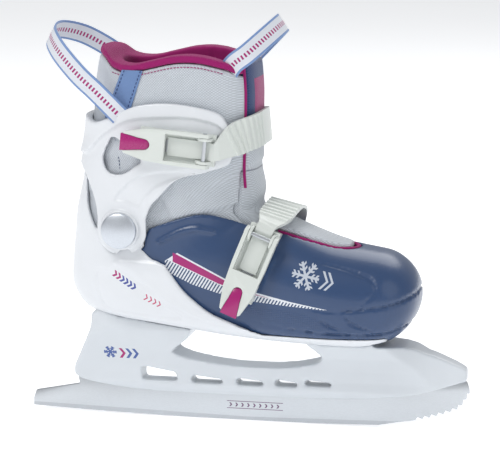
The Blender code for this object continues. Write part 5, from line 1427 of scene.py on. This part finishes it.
def make_pivot_cap(node, surface):
    """A shallow dome turned up from its packed cap's own size."""
    low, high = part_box(node)
    side = -1.0 if low.y < 0.0 else 1.0
    start = (high.y if side < 0.0 else low.y) / MM
    radius = (high.x - low.x) / 2.0 / MM
    rise = (high.y - low.y) / MM
    bpy.ops.mesh.primitive_circle_add(vertices=64, radius=radius * MM, fill_type="NOTHING",
                                      location=Vector((PIVOT[0], start, PIVOT[1])) * MM,
                                      rotation=(math.pi / 2.0, 0.0, 0.0))
    thing = bpy.context.active_object
    pick(thing)
    bpy.ops.object.transform_apply(location=True, rotation=True, scale=True)
    bpy.ops.object.mode_set(mode="EDIT")
    bpy.ops.mesh.select_all(action="SELECT")
    bpy.ops.mesh.fill()
    bpy.ops.mesh.select_all(action="SELECT")
    centre = Vector((PIVOT[0], start, PIVOT[1])) * MM
    before_depth, before_reach = 0.0, 1.0
    for depth, reach in ((0.32, 1.0), (0.44, 0.975), (0.54, 0.90), (0.68, 0.76), (0.82, 0.56), (0.93, 0.33),
                         (0.99, 0.12)):
        bpy.ops.mesh.extrude_region_move(
            TRANSFORM_OT_translate={"value": (0.0, side * rise * (depth - before_depth) * MM, 0.0)})
        narrow = reach / before_reach
        bpy.ops.transform.resize(value=(narrow, 1.0, narrow), center_override=centre)
        before_depth, before_reach = depth, reach
    bpy.ops.mesh.select_all(action="SELECT")
    bpy.ops.mesh.normals_make_consistent(inside=False)
    bpy.ops.object.mode_set(mode="OBJECT")
    bpy.ops.object.shade_smooth_by_angle(angle=math.radians(40.0))
    tidy(thing, node + "_finish", "chassis", [node], [surface])


def make_small_parts():
    """Insole and size button."""
    foam = cloth("insole_foam", srgb(150, 154, 164), 0.7, pitch=1.2 * MM, sheen=0.1)
    footbed = eased_copy("footbed", "chassis", foam, 0.8)
    eased_copy("size_button", "size_button",
               plastic("moulded_button", colours().accent, 0.30, coat=0.35), 0.5)


# ---------------------------------------------------------------- stage

def make_stage():
    bpy.ops.mesh.primitive_plane_add(size=60.0, location=(0.0, 0.0, -0.0003))
    floor = bpy.context.active_object
    floor.name = "floor"
    surface, graph, shader = start_material("floor_paper")
    shader.inputs["Emission Color"].default_value = (1.0, 1.0, 1.0, 1.0)
    shader.inputs["Emission Strength"].default_value = 0.42
    place, _, _, _ = graph.place()
    tone = graph.noise(place, 0.004, 2.0)
    graph.feed(shader, "Base Color", graph.mix(tone, srgb(246, 247, 249), srgb(250, 251, 252)))
    shader.inputs["Roughness"].default_value = 0.8
    shader.inputs["Specular IOR Level"].default_value = 0.15
    floor.data.materials.append(surface)
    for name, place, size, power, tint in (
            ("key_light", (-0.9, -1.3, 2.1), 1.2, 28.0, (1.0, 0.99, 0.98)),
            ("fill_light", (1.7, -1.0, 1.1), 1.8, 6.0, (0.96, 0.98, 1.0)),
            ("back_light", (0.4, 1.5, 1.7), 1.6, 15.0, (1.0, 1.0, 1.0))):
        light = bpy.data.lights.new(name, "AREA")
        light.shape = "DISK"
        light.size = size
        light.energy = power
        light.color = tint
        thing = bpy.data.objects.new(name, light)
        bpy.context.scene.collection.objects.link(thing)
        thing.location = place
        towards = Vector((0.0, 0.0, 0.12)) - Vector(place)
        thing.rotation_euler = towards.to_track_quat("-Z", "Y").to_euler()
    world = bpy.data.worlds.new("studio")
    world.use_nodes = True
    world.node_tree.nodes["Background"].inputs["Color"].default_value = (0.95, 0.97, 1.0, 1.0)
    world.node_tree.nodes["Background"].inputs["Strength"].default_value = 0.40
    bpy.context.scene.world = world
    bpy.context.scene.view_settings.view_transform = "Standard"
    camera = bpy.data.cameras.new("camera")
    camera.lens = 180.0
    camera.sensor_width = 36.0
    camera.clip_start = 0.1
    camera.clip_end = 60.0
    thing = bpy.data.objects.new("camera", camera)
    bpy.context.scene.collection.objects.link(thing)
    turn, rise = math.radians(12.0), math.radians(10.0)
    ahead = Vector((-math.sin(turn) * math.cos(rise), math.cos(turn) * math.cos(rise), -math.sin(rise)))
    right = Vector((math.cos(turn), math.sin(turn), 0.0))
    above = right.cross(ahead)
    target = above * 0.1290 + right * 0.0013
    thing.location = target - ahead * 0.333 * camera.lens / camera.sensor_width
    thing.rotation_euler = ahead.to_track_quat("-Z", "Y").to_euler()
    bpy.context.scene.camera = thing


# ---------------------------------------------------------------- add-on layout

class SKATE_OT_stage(Operator):
    """Add the floor, the lights and the camera"""
    bl_idname = "skate.stage"
    bl_label = "Stage"

    def execute(self, context):
        make_stage()
        return {"FINISHED"}


class SKATE_OT_heel_shell(Operator):
    """Mould the heel cup, ankle lugs, wings and sole"""
    bl_idname = "skate.heel_shell"
    bl_label = "Heel Shell"

    def execute(self, context):
        make_heel_shell()
        return {"FINISHED"}


class SKATE_OT_toe_shell(Operator):
    """Mould the sliding toe shell"""
    bl_idname = "skate.toe_shell"
    bl_label = "Toe Shell"

    def execute(self, context):
        make_toe_shell()
        return {"FINISHED"}


class SKATE_OT_cuff(Operator):
    """Mould the hinged cuff"""
    bl_idname = "skate.cuff"
    bl_label = "Cuff"

    def execute(self, context):
        make_cuff()
        return {"FINISHED"}


class SKATE_OT_holder(Operator):
    """Mould the blade holder"""
    bl_idname = "skate.holder"
    bl_label = "Blade Holder"

    def execute(self, context):
        make_holder()
        return {"FINISHED"}


class SKATE_OT_lining(Operator):
    """Sew the lining, tongue, collar and piping"""
    bl_idname = "skate.lining"
    bl_label = "Lining"

    def execute(self, context):
        make_lining()
        make_tongue()
        make_collar()
        make_piping()
        return {"FINISHED"}


class SKATE_OT_trim(Operator):
    """Sew the trim strips, stitches and pull loops"""
    bl_idname = "skate.trim"
    bl_label = "Trim and Loops"

    def execute(self, context):
        make_trim()
        make_loops()
        return {"FINISHED"}


class SKATE_OT_buckles(Operator):
    """Finish the two ratchet buckles and their straps"""
    bl_idname = "skate.buckles"
    bl_label = "Buckles"

    def execute(self, context):
        make_buckles()
        return {"FINISHED"}


class SKATE_OT_metal(Operator):
    """Grind the blade and plate the fasteners"""
    bl_idname = "skate.metal"
    bl_label = "Blade and Metal"

    def execute(self, context):
        make_metal()
        make_small_parts()
        return {"FINISHED"}


class SKATE_PT_panel(Panel):
    """Lists the skate's pieces in the order they are made"""
    bl_label = "Ice Skate"
    bl_idname = "SKATE_PT_panel"
    bl_space_type = "VIEW_3D"
    bl_region_type = "UI"
    bl_category = "Skate"

    def draw(self, context):
        for operator in OPERATORS:
            self.layout.operator(operator.bl_idname)
        for group in (context.scene.skate_colours, context.scene.skate_sizes):
            for name in group.__annotations__:
                self.layout.prop(group, name)


OPERATORS = (SKATE_OT_stage, SKATE_OT_heel_shell, SKATE_OT_toe_shell, SKATE_OT_cuff, SKATE_OT_holder,
             SKATE_OT_lining, SKATE_OT_trim, SKATE_OT_buckles, SKATE_OT_metal)
CLASSES = (SkateColours, SkateSizes, SKATE_PT_panel) + OPERATORS


def register():
    for entry in CLASSES:
        bpy.utils.register_class(entry)
    bpy.types.Scene.skate_colours = PointerProperty(type=SkateColours)
    bpy.types.Scene.skate_sizes = PointerProperty(type=SkateSizes)


def unregister():
    del bpy.types.Scene.skate_sizes
    del bpy.types.Scene.skate_colours
    for entry in reversed(CLASSES):
        bpy.utils.unregister_class(entry)


def main():
    register()
    bpy.ops.skate.stage()
    bpy.ops.skate.heel_shell()
    bpy.ops.skate.toe_shell()
    bpy.ops.skate.cuff()
    bpy.ops.skate.holder()
    bpy.ops.skate.lining()
    bpy.ops.skate.trim()
    bpy.ops.skate.buckles()
    bpy.ops.skate.metal()


if __name__ == "__main__":
    main()
